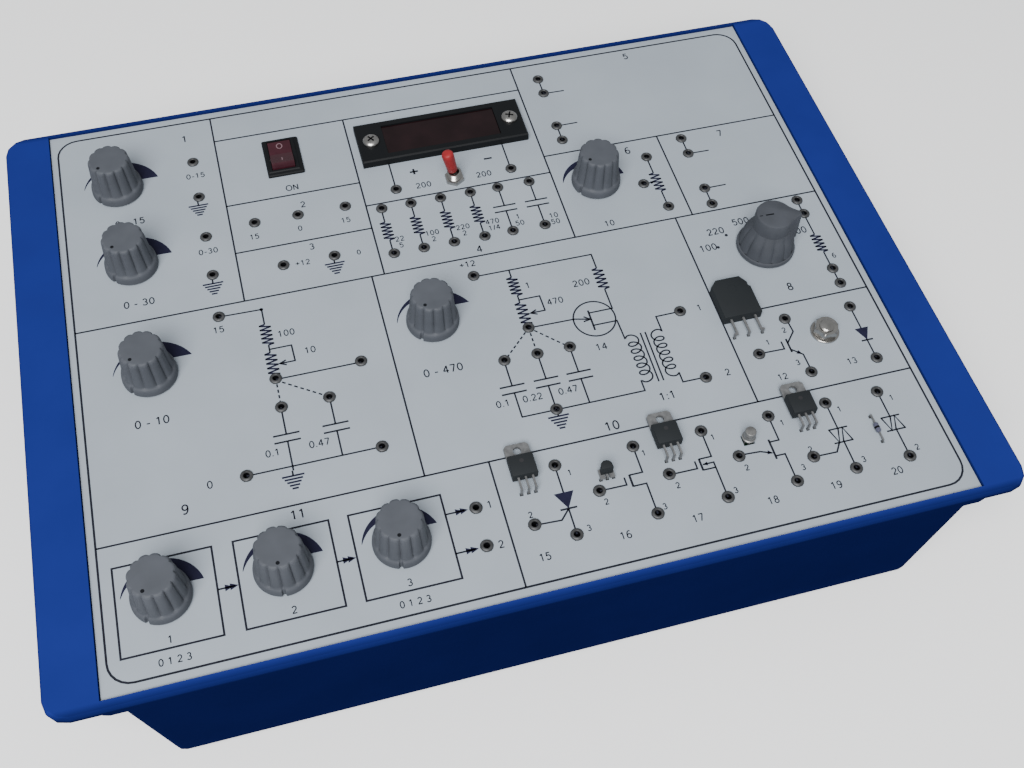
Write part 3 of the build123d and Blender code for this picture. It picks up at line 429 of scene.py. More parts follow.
def socket_pieces():
    """Round metal sockets with a rolled lip round a dark bore, painted near black as shade."""
    lip = [(2.05, -11.0), (2.05, -0.2), (2.6, 0.0), (2.62, 0.3), (2.5, 0.62), (2.2, 0.85), (1.8, 0.98),
           (1.5, 0.97), (1.3, 0.8), (1.22, 0.5)]
    bore = [(1.22, 0.5), (1.2, -0.6), (1.2, -8.0)]
    for node in ("supply_sockets", "component_sockets", "circuit_sockets", "device_sockets"):
        form = Form()
        for low, high in islands(node):
            x, y = (low.x + high.x) / 2, (low.y + high.y) / 2
            form.lathe(lip, x, y, PANEL, high=False)
            # The bore is painted near black as shade
            form.lathe(bore, x, y, PANEL, slot=1, low=False)
        form.piece("round_" + node, "case", [socket_metal, dark], "socket_metal", [node])


# Knobs

# The ridges round a knob, and how far from its middle the dot lies that marks the pointer
RIDGES = 12
RIDGE_STEPS = 14
GROOVE_SHARPNESS = 1.6
DOT_REACH = 6.4


def fluted_ring(x, y, z, radius, flute, pointer, notch=0.0):
    """A ring of broad ridges with narrow grooves, and a notch at the pointer."""
    steps = RIDGES * RIDGE_STEPS
    ring = []
    for i in range(steps):
        angle = TURN * i / steps + pointer
        lobe = abs(math.sin(RIDGES / 2 * (angle - pointer)))
        reach = radius - flute * (1 - lobe) ** GROOVE_SHARPNESS
        if i < 2 or i > steps - 2:
            reach -= notch
        ring.append((x + reach * math.cos(angle), y + reach * math.sin(angle), z))
    return ring


def recess(form, x, y, z, radius):
    """The hollow under a knob that hides the nut of its control."""
    form.lathe([(radius, 0.0), (radius, 4.6), (3.2, 4.6)], x, y, z, steps=48, low=False, high=False)


def fluted_knob(name):
    """A flared skirt, and above it a barrel whose ridges end in a scalloped rim."""
    x, y = KNOBS[name]
    pointer = math.radians(POINTER[name])
    # Radius, height, depth of the grooves and depth of the pointer's notch, from the foot up
    rows = [
        (7.4, 0.0, 0, 0), (10.9, 0.0, 0, 0.9), (11.25, 0.3, 0, 0.9), (11.3, 0.9, 0, 0.9),
        (11.15, 2.6, 0, 0.9), (10.95, 3.7, 0, 0.8), (10.55, 4.15, 0.1, 0.6), (10.25, 4.5, 0.6, 0.2),
        (10.1, 5.2, 0.95, 0), (9.75, 9.0, 1.05, 0), (9.3, 14.0, 1.05, 0), (9.05, 17.2, 1.0, 0),
        (8.9, 18.0, 0.9, 0), (8.6, 18.6, 0.75, 0), (8.1, 18.95, 0.5, 0), (7.5, 19.0, 0.2, 0),
        (5.2, 18.97, 0, 0), (1.0, 18.95, 0, 0),
    ]
    form = Form()
    form.rings([fluted_ring(x, y, KNOB_BOTTOM + z, radius, flute, pointer, notch)
                for radius, z, flute, notch in rows], low=False)
    recess(form, x, y, KNOB_BOTTOM, 7.4)
    dot_x = x + DOT_REACH * math.cos(pointer)
    dot_y = y + DOT_REACH * math.sin(pointer)
    form.lathe([(0.75, 18.9), (0.75, 19.03)], dot_x, dot_y, KNOB_BOTTOM, steps=16, slot=1, low=False)
    form.piece(f"{name}_fluted_knob", f"{name}_control", [grey, mark], "grey_plastic", [f"{name}_knob"])


# The selector's grip: its radius, the height of the print on it, and where its nose starts
GRIP_RADIUS = 8.6
GRIP_PRINT = 21.73
NOSE_ANGLE = 38


def selector_outline():
    """The selector's grip from above: round, with a nose that runs out to +X."""
    nose = [(7.7, 4.3), (8.9, 3.35), (10.3, 2.5), (11.6, 1.75), (12.3, 1.1), (12.6, 0.4)]
    steps = 40
    points = []
    for step in range(steps + 1):
        angle = math.radians(NOSE_ANGLE + (360 - 2 * NOSE_ANGLE) * step / steps)
        points.append((GRIP_RADIUS * math.cos(angle), GRIP_RADIUS * math.sin(angle)))
    points += [(px, -py) for px, py in nose]
    points += reversed(nose)
    return points


def selector_knob():
    """A plain skirt, a fluted drum with a sloping shoulder, and the nosed grip."""
    form = Form()
    turn = Matrix.Rotation(math.radians(SELECTOR_POINTER), 4, "Z")
    form.place = Matrix.Translation((*SELECTOR, KNOB_BOTTOM)) @ turn
    skirt = [(7.6, 0.0), (12.7, 0.0), (13.0, 0.35), (13.0, 1.6), (12.8, 2.05), (12.2, 2.25)]
    form.lathe(skirt, steps=96, low=False, high=False)
    recess(form, 0.0, 0.0, 0.0, 7.6)
    # Radius, height and depth of the grooves
    drum = [(12.3, 2.2, 0.5), (12.2, 3.0, 0.85), (11.8, 6.0, 0.9), (11.2, 8.4, 0.85), (10.4, 10.4, 0.7),
            (9.5, 12.2, 0.4), (8.9, 13.4, 0.15), (8.5, 14.2, 0), (4.0, 14.2, 0)]
    form.rings([fluted_ring(0, 0, z, radius, flute, 0) for radius, z, flute in drum], low=False)
    # Height, scale of the outline and how far its edge is drawn in
    grip = [(7.0, 1.0, 0), (12.0, 0.985, 0), (20.7, 0.955, 0), (21.4, 0.95, 0.3), (21.7, 0.948, 1.0)]
    rings = []
    for z, share, edge in grip:
        outline = [(px * share, py * share) for px, py in selector_outline()]
        outline = inset(outline, edge) if edge else outline
        rings.append([(px, py, z) for px, py in outline])
    form.rings(rings, low=False)
    form.stroke([(-7.0, -1.0), (-5.6, -0.8)], 0.45, GRIP_PRINT, slot=1)
    form.stroke([(-4.2, -0.6), (-0.5, -0.1)], 0.7, GRIP_PRINT, slot=1)
    form.piece("selector_grip_knob", "load_selector", [slate, mark], "grey_plastic", ["load_knob"])


# Switches

def rocker_pieces():
    """A frame round the rocker's opening, and a ring and a bar on the rocker's two press faces."""
    x, y = ROCKER
    form = Form()
    middle = (x + 0.6, y - 0.5)
    outer = rounded(*middle, 16.8, 22.6, 0.6)
    rim = rounded(*middle, 16.0, 21.8, 0.4)
    inner = rounded(x, y, 14.6, 20.6, 0.3)
    levels = ((inner, 0.0), (outer, 0.0), (outer, 0.9), (rim, 1.4), (inner, 1.6))
    rings = [[(px, py, PANEL + z) for px, py in outline] for outline, z in levels]
    form.rings(rings, low=False, high=False)
    form.piece("rocker_frame", "case", [black], "black_plastic")
    pivot = Matrix.Translation((x, y, PANEL - 0.5)) @ Matrix.Rotation(-ROCKER_TILT, 4, "X")
    face_height, mark_height = 2.62, 0.02
    for side, shape in ((1, "ring"), (-1, "bar")):
        form = Form()
        lean = Matrix.Rotation(side * ROCKER_TILT, 4, "X")
        form.place = pivot @ Matrix.Translation((0, 0, face_height)) @ lean
        if shape == "ring":
            form.stroke(oval(0, side * 5.0, 1.25, 1.55, 32), 0.45, mark_height, closed=True)
        else:
            form.stroke([(0, side * 3.6), (0, side * 6.2)], 0.5, mark_height)
        form.piece(f"rocker_{shape}", "power_rocker", [white_mark])


def toggle_pieces():
    """A threaded bush with its nut, and a steel lever in a soft red sleeve."""
    x, y = TOGGLE
    form = Form()
    hexagon = []
    for i in range(6):
        angle = TURN * (i + 0.5) / 6
        hexagon.append((x + 4.65 * math.cos(angle), y + 4.62 * math.sin(angle)))
    form.slab(hexagon, PANEL, PANEL + 2.0, edge=0.35)
    form.piece("toggle_lock_nut", "case", [steel], "plated_steel", ["toggle_nut"])
    form = Form()
    thread = [(3.1, 2.0)]
    for i in range(6):
        thread += [(3.3, 2.1 + i * 0.5), (3.05, 2.35 + i * 0.5)]
    thread += [(3.15, 5.15), (2.8, 5.3), (2.3, 5.3), (2.25, 4.6)]
    form.lathe(thread, x, y, PANEL, steps=40, low=False, high=False)
    form.piece("toggle_thread", "case", [steel], "plated_steel")
    lever = Matrix.Translation((x, y, PANEL + 2.6)) @ Matrix.Rotation(-TOGGLE_TILT, 4, "Y")
    form = Form()
    form.place = lever
    ball = [(2.25 * math.sin(a), -2.25 * math.cos(a)) for a in [0.35 + 0.3 * i for i in range(8)]]
    form.lathe([(0.8, -9.0), (0.8, -2.2)] + ball + [(1.2, 2.2), (1.2, 14.4)], steps=24)
    form.piece("toggle_steel_lever", "bias_toggle", [steel], "plated_steel", ["toggle_lever"])
    form = Form()
    form.place = lever
    form.lathe([(1.25, 3.9), (2.2, 3.9), (2.4, 4.2), (2.5, 8.0), (2.75, 12.5), (2.75, 14.2), (2.5, 15.0),
                (1.9, 15.5), (0.9, 15.65)], steps=32, low=False)
    form.piece("toggle_red_sleeve", "bias_toggle", [red], "red_plastic", ["toggle_sleeve"])


# Meter

def meter_pieces():
    """The two domed screws that hold the meter's bezel, their crossed slots painted on as dark strokes of
    shade.
    """
    form = Form()
    head = [(3.95, 0.0), (3.95, 0.7), (3.7, 1.25), (3.0, 1.75), (1.9, 2.1), (0.7, 2.2)]
    for side in (-1, 1):
        x, y = METER[0] + side * METER_SCREW_REACH, METER[1]
        form.lathe(head, x, y, BEZEL_TOP, steps=40, low=False)
        form.lathe([(1.7, -11.0), (1.7, 0.0)], x, y, BEZEL_TOP, steps=20)
        turn = math.radians(35 if side < 0 else -20)
        # The slots are flat near-black strokes: painted shade
        for angle in (turn, turn + math.pi / 2):
            dx, dy = 1.9 * math.cos(angle), 1.9 * math.sin(angle)
            form.stroke([(x - dx, y - dy), (x + dx, y + dy)], 0.75, BEZEL_TOP + 2.22, slot=1)
    form.piece("meter_cross_screws", "case", [steel, dark], "plated_steel", ["meter_screws"])


# Sample devices

def power_package():
    """A three-lead power package lying on the panel, its far corners cut off."""
    form = Form()
    outline = [(98.7, -38.0), (115.7, -38.0), (115.7, -24.0), (114.9, -23.6), (114.9, -21.6),
               (112.5, -17.8), (101.7, -17.8), (98.7, -20.8)]
    form.slab(outline, 67.2, 72.0, edge=0.5)
    # The mounting hole is a shallow dish painted near black as shade
    form.lathe([(2.0, 72.03), (1.7, 71.4)], *POWER_HOLE, steps=32, slot=1, low=False)
    form.piece("power_device", "case", [epoxy, dark], "epoxy", ["power_package"])


def tab_device(form, x):
    """The moulded body of a small tab package, with its ejector mark."""
    outline = [(x - 5.1, -90.2), (x + 5.1, -90.2), (x + 5.1, -81.0), (x - 5.1, -81.0)]
    form.slab(outline, DEVICE_FOOT, 73.4, edge=0.4)
    form.dot(x, -84.0, 0.9, 73.42, slot=1)


def small_packages():
    """Three tab packages, and one small package that is round at the back."""
    form = Form()
    for x in TAB_DEVICES:
        tab_device(form, x)
    x, y = LEAD_DEVICE
    outline = [(x - 2.4, y - 1.85), (x + 2.4, y - 1.85)]
    for i in range(9):
        angle = math.radians(12 + i * 19.5)
        outline.append((x + 2.4 * math.cos(angle), y - 0.45 + 2.3 * math.sin(angle)))
    form.slab(outline, DEVICE_FOOT, 73.8, edge=0.3)
    form.piece("small_devices", "case", [epoxy, chip_face], "epoxy", ["small_packages"])


def can_package():
    """A small metal can on a flange with a locating tab."""
    form = Form()
    x, y = CAN
    can = [(2.8, 0), (2.8, 0.45), (2.45, 0.6), (2.35, 0.7), (2.35, 4.4), (2.2, 4.8), (1.8, 5.0)]
    form.lathe(can, x, y, DEVICE_FOOT)
    tab = [(x + 2.2, y + 1.6), (x + 3.0, y + 2.3), (x + 2.4, y + 2.9), (x + 1.6, y + 2.2)]
    form.slab(tab, DEVICE_FOOT, DEVICE_FOOT + 0.35)
    form.piece("metal_can", "case", [can_metal], "plated_steel", ["ujt_can"])


def stud_hardware():
    """A plain washer, and a hexagon nut run down on the threaded end of the diode's stud."""
    x, y = STUD
    form = Form()
    washer = [(2.9, 0.0), (6.0, 0.0), (6.2, 0.2), (6.2, 0.8), (6.0, 1.0), (2.9, 1.0)]
    form.lathe(washer, x, y, PANEL, steps=48, low=False, high=False)
    bottom, top, half_across = 1.0, 4.6, 4.75
    rings = []
    # Height, and the radius that rounds the nut's corners off at its two ends
    for z, radius in ((bottom, 5.1), (1.3, 5.48), (4.0, 5.48), (top, half_across)):
        ring = []
        for i in range(48):
            angle = TURN * i / 48
            flat = half_across / math.cos((angle % (math.pi / 3)) - math.pi / 6)
            reach = min(flat, radius) if z in (bottom, top) else flat
            ring.append((x + reach * math.cos(angle), y + reach * math.sin(angle), PANEL + z))
        rings.append(ring)
    form.rings(rings)
    thread = []
    for i in range(4):
        thread += [(3.05, 4.6 + i * 0.25), (2.85, 4.72 + i * 0.25)]
    form.lathe(thread + [(2.85, 5.5), (2.3, 5.75), (0.8, 5.7)], x, y, PANEL, steps=32, low=False)
    form.piece("stud_nut_and_washer", "case", [steel], "plated_steel", ["diode_hardware"])


def diac():
    """A glass bead with rounded ends and a dark band."""
    form = Form()
    form.place = Matrix.Translation((*BEAD, PANEL + 1.3)) @ Matrix.Rotation(math.pi / 2, 4, "X")
    form.lathe([(0.5, -2.2), (0.95, -1.9), (1.1, -1.4), (1.1, -0.3)], steps=24, high=False)
    band = [(1.1, -0.3), (1.13, -0.25), (1.13, 0.5), (1.1, 0.55)]
    form.lathe(band, steps=24, slot=1, low=False, high=False)
    form.lathe([(1.1, 0.55), (1.1, 1.4), (0.95, 1.9), (0.5, 2.2)], steps=24, low=False)
    form.piece("glass_bead", "case", [bead, dark], "orange_glass", ["diac_body"])


# Print on the panel

# Widths of the printed lines
LINE = 0.7
RULE = LINE + 0.05
BOLD = LINE + 0.1
HEAVY = LINE + 0.15
HEAVIEST = LINE + 0.2

# Lines between the blocks that run to the back (x, then two ends) and across (y, then two ends)
UPRIGHTS = (
    (-96.8, 135.1, 23.75), (-35.9, 119.8, 23.75), (51.1, 135.1, 23.75), (107.0, 74.3, 23.75),
    (-41.5, 23.75, -78.1), (98.7, 23.75, -78.1), (-15.6, -78.1, -133.2),
)
CROSSINGS = (
    (119.8, -96.8, 51.1), (78.6, -96.8, -35.9), (50.6, -96.8, -35.9), (64.0, -35.9, 51.1),
    (74.3, 51.1, 167.5), (23.75, -167.5, 167.5), (-33.9, 98.7, 167.5), (-78.1, -167.5, 167.5),
)

# The left and right sides of the frames round three controls, and their back and front
CONTROL_FRAMES = ((-162.5, -125.8), (-117.8, -81.4), (-73.8, -37.6))
FRAME_BACK = -87.6
FRAME_FRONT = -123.7


def frames(form):
    """The border, the lines between the blocks, and the three framed controls."""
    form.stroke(rounded(0, 0.95, 335.0, 268.3, 9.0), HEAVY, closed=True)
    for x, y0, y1 in UPRIGHTS:
        form.stroke([(x, y0), (x, y1)], RULE)
    for y, x0, x1 in CROSSINGS:
        form.stroke([(x0, y), (x1, y)], RULE)
    for x0, x1 in CONTROL_FRAMES:
        corners = [(x0, FRAME_BACK), (x1, FRAME_BACK), (x1, FRAME_FRONT), (x0, FRAME_FRONT)]
        form.stroke(corners, BOLD, closed=True)


def crescent(form, x, y, tip):
    """A claw round a knob: a thin tail at the left that widens to a point at the right, cut level."""
    steps = 32
    tail = math.radians(169)
    outer_tail, inner_tail = 15.2, 15.0
    cut = (tip[0] - 7.5, tip[1] + 0.1)
    sides = []
    for end, start, curve in ((tip, outer_tail, 2), (cut, inner_tail, 0.9)):
        end_angle = math.atan2(end[1], end[0])
        side = []
        for i in range(steps + 1):
            share = i / steps
            angle = tail + (end_angle - tail) * share
            reach = start + (math.hypot(*end) - start) * share ** curve
            side.append((x + reach * math.cos(angle), y + reach * math.sin(angle)))
        sides.append(side)
    outer, inner = sides
    for i in range(steps):
        form.patch([outer[i], inner[i], inner[i + 1], outer[i + 1]], slot=1)


def zigzag(form, x, top, bottom, half=2.45, teeth=5):
    """An upright resistor's zigzag, stroke by stroke."""
    points = [(x, top)]
    pitch = (top - bottom) / (2 * teeth)
    for i in range(2 * teeth):
        points.append((x + (half if i % 2 else -half), top - (i + 0.5) * pitch))
    points.append((x, bottom))
    for a, b in zip(points, points[1:]):
        form.stroke([a, b], BOLD, slot=1)


def resistor(form, x, top, start, end, bottom):
    """A zigzag with a lead at each end."""
    form.stroke([(x, top), (x, start)], LINE)
    zigzag(form, x, start, end)
    form.stroke([(x, end), (x, bottom)], LINE)


def capacitor(form, x, top, upper, lower, bottom, half=5.3):
    """Two plates with a lead at each."""
    form.stroke([(x, top), (x, upper)], LINE)
    form.stroke([(x - half, upper), (x + half, upper)], BOLD)
    form.stroke([(x - half, lower), (x + half, lower)], BOLD)
    form.stroke([(x, lower), (x, bottom)], LINE)


def ground(form, x, top, first, pitch=1.4, half=4.4):
    """Five bars of falling width under a short stem."""
    form.stroke([(x, top), (x, first)], LINE)
    for i in range(5):
        reach = half * (1 - 0.18 * i)
        form.stroke([(x - reach, first - i * pitch), (x + reach, first - i * pitch)], BOLD, slot=1)


# Half the opening of an arrow head, in radians
BARB = 0.42


def arrow(form, x, y, angle, size=2.6, filled=False):
    """An arrow head whose tip is at the point given."""
    turn = math.radians(angle)
    barbs = []
    for barb in (turn + BARB, turn - BARB):
        barbs.append((x - size * math.cos(barb), y - size * math.sin(barb)))
    if filled:
        form.patch([(x, y), barbs[0], barbs[1]], slot=1)
    else:
        form.stroke([barbs[0], (x, y), barbs[1]], LINE)


def dashes(form, start, end, dash=1.6, gap=1.1):
    """A broken line."""
    length = math.dist(start, end)
    done = gap
    while done < length:
        stop = min(done + dash, length)
        a = [s + (e - s) * done / length for s, e in zip(start, end)]
        b = [s + (e - s) * stop / length for s, e in zip(start, end)]
        form.stroke([a, b], LINE)
        done += dash + gap


def supply_print(form):
    """The grounds of three supplies, and the two leads below the meter."""
    ground(form, -108.9, 85.0, 82.2)
    ground(form, -108.5, 39.0, 36.4)
    ground(form, -55.7, 37.5, 34.9)
    form.stroke([(-20.5, 86.8), (-20.5, 72.5)], LINE)
    form.stroke([(33.9, 86.8), (33.9, 72.5)], LINE)


def bank_print(form):
    """The bank of resistors and capacitors, the divider, the stepped load, and two more leads."""
    for x in (-29.6, -15.9, -2.0, 11.9):
        resistor(form, x, 60.7, 52.6, 42.0, 34.0)
    capacitor(form, 25.1, 60.7, 49.4, 46.2, 34.0)
    capacitor(form, 40.1, 60.7, 49.3, 46.1, 34.0)
    resistor(form, 97.9, 62.5, 52.2, 40.8, 31.0)
    form.stroke([(91.3, 46.8), (96.6, 46.8)], LINE)
    arrow(form, 96.8, 46.8, 0, 2.2, filled=True)
    resistor(form, 156.9, 20.3, -0.6, -10.9, -29.2)
    for x, y0, y1, y2, y3 in ((62.6, 124.5, 114.5, 92.0, 82.4), (118.1, 70.0, 60.0, 37.5, 27.7)):
        form.stroke([(x, y0), (x, y1), (x + 10.2, y1 - 0.2)], LINE)
        form.stroke([(x, y3), (x, y2), (x + 10.3, y2)], LINE)


def wiper(form, x, top, bottom):
    """The lead that loops from above a zigzag to an arrow at its side."""
    form.stroke([(x, top), (x + 9.2, top), (x + 9.4, bottom), (x + 3.2, bottom)], LINE)
    arrow(form, x + 3.0, bottom, 180, 3.0)


def rc_print(form):
    """The firing circuit with a resistor and a capacitor."""
    form.stroke([(-108.5, 18.0), (-90.5, 17.6), (-90.5, 9.5)], LINE)
    form.dot(-90.6, 17.6, 0.8)
    zigzag(form, -90.5, 9.5, -1.4)
    form.stroke([(-90.5, -1.4), (-90.5, -5.4)], LINE)
    zigzag(form, -90.5, -5.4, -17.2)
    wiper(form, -90.5, -3.7, -11.8)
    form.stroke([(-90.3, -19.2), (-54.8, -19.2)], LINE)
    dashes(form, (-90.3, -20.5), (-90.3, -32.0))
    dashes(form, (-89.0, -20.5), (-71.8, -32.0))
    capacitor(form, -90.5, -33.0, -46.0, -49.3, -63.0)
    capacitor(form, -70.7, -33.0, -46.0, -49.3, -61.0)
    form.stroke([(-108.5, -61.0), (-54.8, -61.0)], LINE)
    ground(form, -91.0, -63.0, -65.3)


def coil(form, x, top, bottom, side, turns=6):
    """A winding drawn as one line, with its small loops on the side away from the core."""
    points = []
    for i in range(turns * 16 + 1):
        share = i / (turns * 16)
        angle = TURN * turns * share
        y = top + (bottom - top) * share
        points.append((x - side * 2.5 * math.cos(angle), y + 1.9 * math.sin(angle)))
    form.stroke(points, LINE)


def ujt_print(form):
    """The firing circuit with a unijunction transistor and a pulse transformer."""
    form.stroke([(1.5, 12.9), (55.1, 12.6), (55.1, 4.6)], LINE)
    form.stroke([(17.3, 12.8), (17.3, 8.6)], LINE)
    zigzag(form, 17.3, 8.6, -1.5)
    form.stroke([(17.3, -1.5), (17.2, -5.6)], LINE)
    zigzag(form, 17.2, -5.6, -17.6)
    wiper(form, 17.3, -4.0, -12.0)
    zigzag(form, 55.1, 4.6, -7.2)
    form.stroke([(55.1, -7.2), (55.1, -18.0), (44.5, -18.0)], LINE)
    form.stroke([(44.5, -24.7), (55.1, -24.7), (55.4, -34.5), (55.9, -34.4)], LINE)
    form.stroke([(44.5, -16.6), (44.5, -27.2)], HEAVY)
    form.stroke(oval(46.0, -21.4, 9.1, 9.1, 48), LINE, closed=True)
    form.stroke([(17.3, -19.3), (37.5, -19.6), (43.9, -21.2)], LINE)
    arrow(form, 44.2, -21.3, -14, 3.2)
    dashes(form, (16.2, -20.4), (4.2, -32.0))
    dashes(form, (17.3, -21.0), (17.3, -32.0))
    dashes(form, (18.5, -20.4), (30.4, -32.0))
    for x in (2.8, 17.3, 31.4):
        capacitor(form, x, -33.0, -45.9, -49.4, -61.4)
    form.stroke([(2.6, -61.4), (55.3, -61.5), (55.3, -56.6), (55.9, -56.5)], LINE)
    ground(form, 17.2, -61.3, -64.6)
    coil(form, 58.4, -34.4, -56.5, 1)
    coil(form, 69.2, -34.4, -56.5, -1)
    form.stroke([(62.7, -33.3), (62.4, -58.6)], LINE)
    form.stroke([(64.8, -33.3), (64.5, -58.6)], LINE)
    form.stroke([(71.7, -34.4), (72.0, -34.5), (72.0, -26.8), (83.0, -26.7)], LINE)
    form.stroke([(71.7, -56.5), (72.0, -56.6), (72.0, -61.3), (82.0, -61.4)], LINE)


def triangle(form, x, y, half, height):
    """A diode's filled triangle that points towards the front, with its bar."""
    form.patch([(x - half, y), (x, y - height), (x + half, y)], PRINT + 0.02, slot=1)
    form.stroke([(x - half * 0.85, y - height), (x + half * 0.85, y - height)], BOLD)


def output_print(form):
    """The power transistor and the power diode."""
    form.stroke([(126.2, -42.0), (126.6, -48.5), (122.0, -53.6)], LINE)
    form.stroke([(122.0, -51.4), (122.0, -58.4)], HEAVY)
    form.stroke([(122.1, -57.0), (126.2, -60.6), (126.4, -69.4)], LINE)
    arrow(form, 126.0, -60.4, -42, 2.6, filled=True)
    form.stroke([(108.1, -55.8), (119.5, -56.1), (119.5, -52.2)], LINE)
    form.stroke([(155.8, -42.2), (155.8, -69.6)], LINE)
    triangle(form, 155.9, -53.9, 3.1, 6.4)


def device_print(form):
    """The signs of the devices along the front."""
    form.stroke([(9.2, -86.2), (9.1, -117.0)], LINE)
    triangle(form, 9.2, -98.5, 4.0, 7.2)
    form.stroke([(9.1, -105.8), (5.2, -109.9), (-5.0, -109.4)], LINE)
    for x, gate, bar, drain in ((36.5, 23.2, 34.2, 42.0), (65.7, 52.1, 63.7, 71.0)):
        form.stroke([(drain, -85.6), (drain, -97.6), (x, -97.6)], LINE)
        form.stroke([(drain, -116.4), (drain, -102.7), (x, -102.7)], LINE)
        form.stroke([(x, -97.4), (x, -102.9)], HEAVIEST)
        form.stroke([(gate, -101.4), (bar, -101.5), (bar, -98.1)], LINE)
    form.stroke([(66.4, -100.3), (71.0, -100.3), (71.0, -103.0)], LINE)
    arrow(form, 66.4, -100.3, 180, 2.2, filled=True)
    form.stroke([(100.2, -85.7), (100.2, -97.2), (96.1, -97.2)], LINE)
    form.stroke([(100.2, -116.6), (100.2, -103.8), (96.1, -103.8)], LINE)
    form.stroke([(96.1, -96.0), (96.1, -105.2)], HEAVIEST)
    form.stroke([(82.2, -99.9), (90.8, -100.4), (95.4, -102.2)], LINE)
    arrow(form, 95.6, -102.3, -24, 2.4, filled=True)
    for x, y0, y1 in ((125.6, -85.6, -117.0), (148.8, -85.7, -117.2)):
        form.stroke([(x, y0), (x, -97.9)], LINE)
        form.stroke([(x, -104.5), (x, y1)], LINE)
        form.stroke([(x - 4.2, -98.0), (x + 4.2, -98.0)], LINE)
        form.stroke([(x - 4.2, -104.4), (x + 4.2, -104.4)], LINE)
        form.stroke([(x - 3.9, -98.0), (x - 1.9, -104.4), (x + 0.1, -98.0)], LINE)
        form.stroke([(x - 0.1, -104.4), (x + 1.9, -98.0), (x + 3.9, -104.4)], LINE)
    form.stroke([(110.9, -108.0), (120.9, -108.2), (123.4, -104.6)], LINE)


def double_arrow(form, x, y):
    """Two arrow heads to the right, one close behind the other."""
    for tip in (x, x - 1.9):
        arrow(form, tip, y, 0, 3.4, filled=True)


def digital_print(form):
    """The leads between the three framed controls and to their two outputs."""
    middle = -105.6
    for x0, x1 in ((-125.8, -117.8), (-81.4, -73.8)):
        form.stroke([(x0, middle), (x1 - 1.5, middle)], LINE)
        double_arrow(form, x1 - 0.3, middle)
    for y in (-96.5, -113.4):
        form.stroke([(-37.6, y), (-29.8, y)], LINE)
        double_arrow(form, -28.6, y)


def print_pieces():
    """Everything that is printed on the panel, apart from the numbers."""
    form = Form()
    frames(form)
    supply_print(form)
    bank_print(form)
    rc_print(form)
    ujt_print(form)
    output_print(form)
    device_print(form)
    digital_print(form)
    # Dots at the selector's first two places
    form.dot(111.7, 2.8, 0.75)
    form.dot(117.7, 8.6, 0.75)
    for name, (x, y) in KNOBS.items():
        crescent(form, x, y, CLAW[name])
    form.piece("printed_diagram", "case", [ink, indigo], smooth=0)


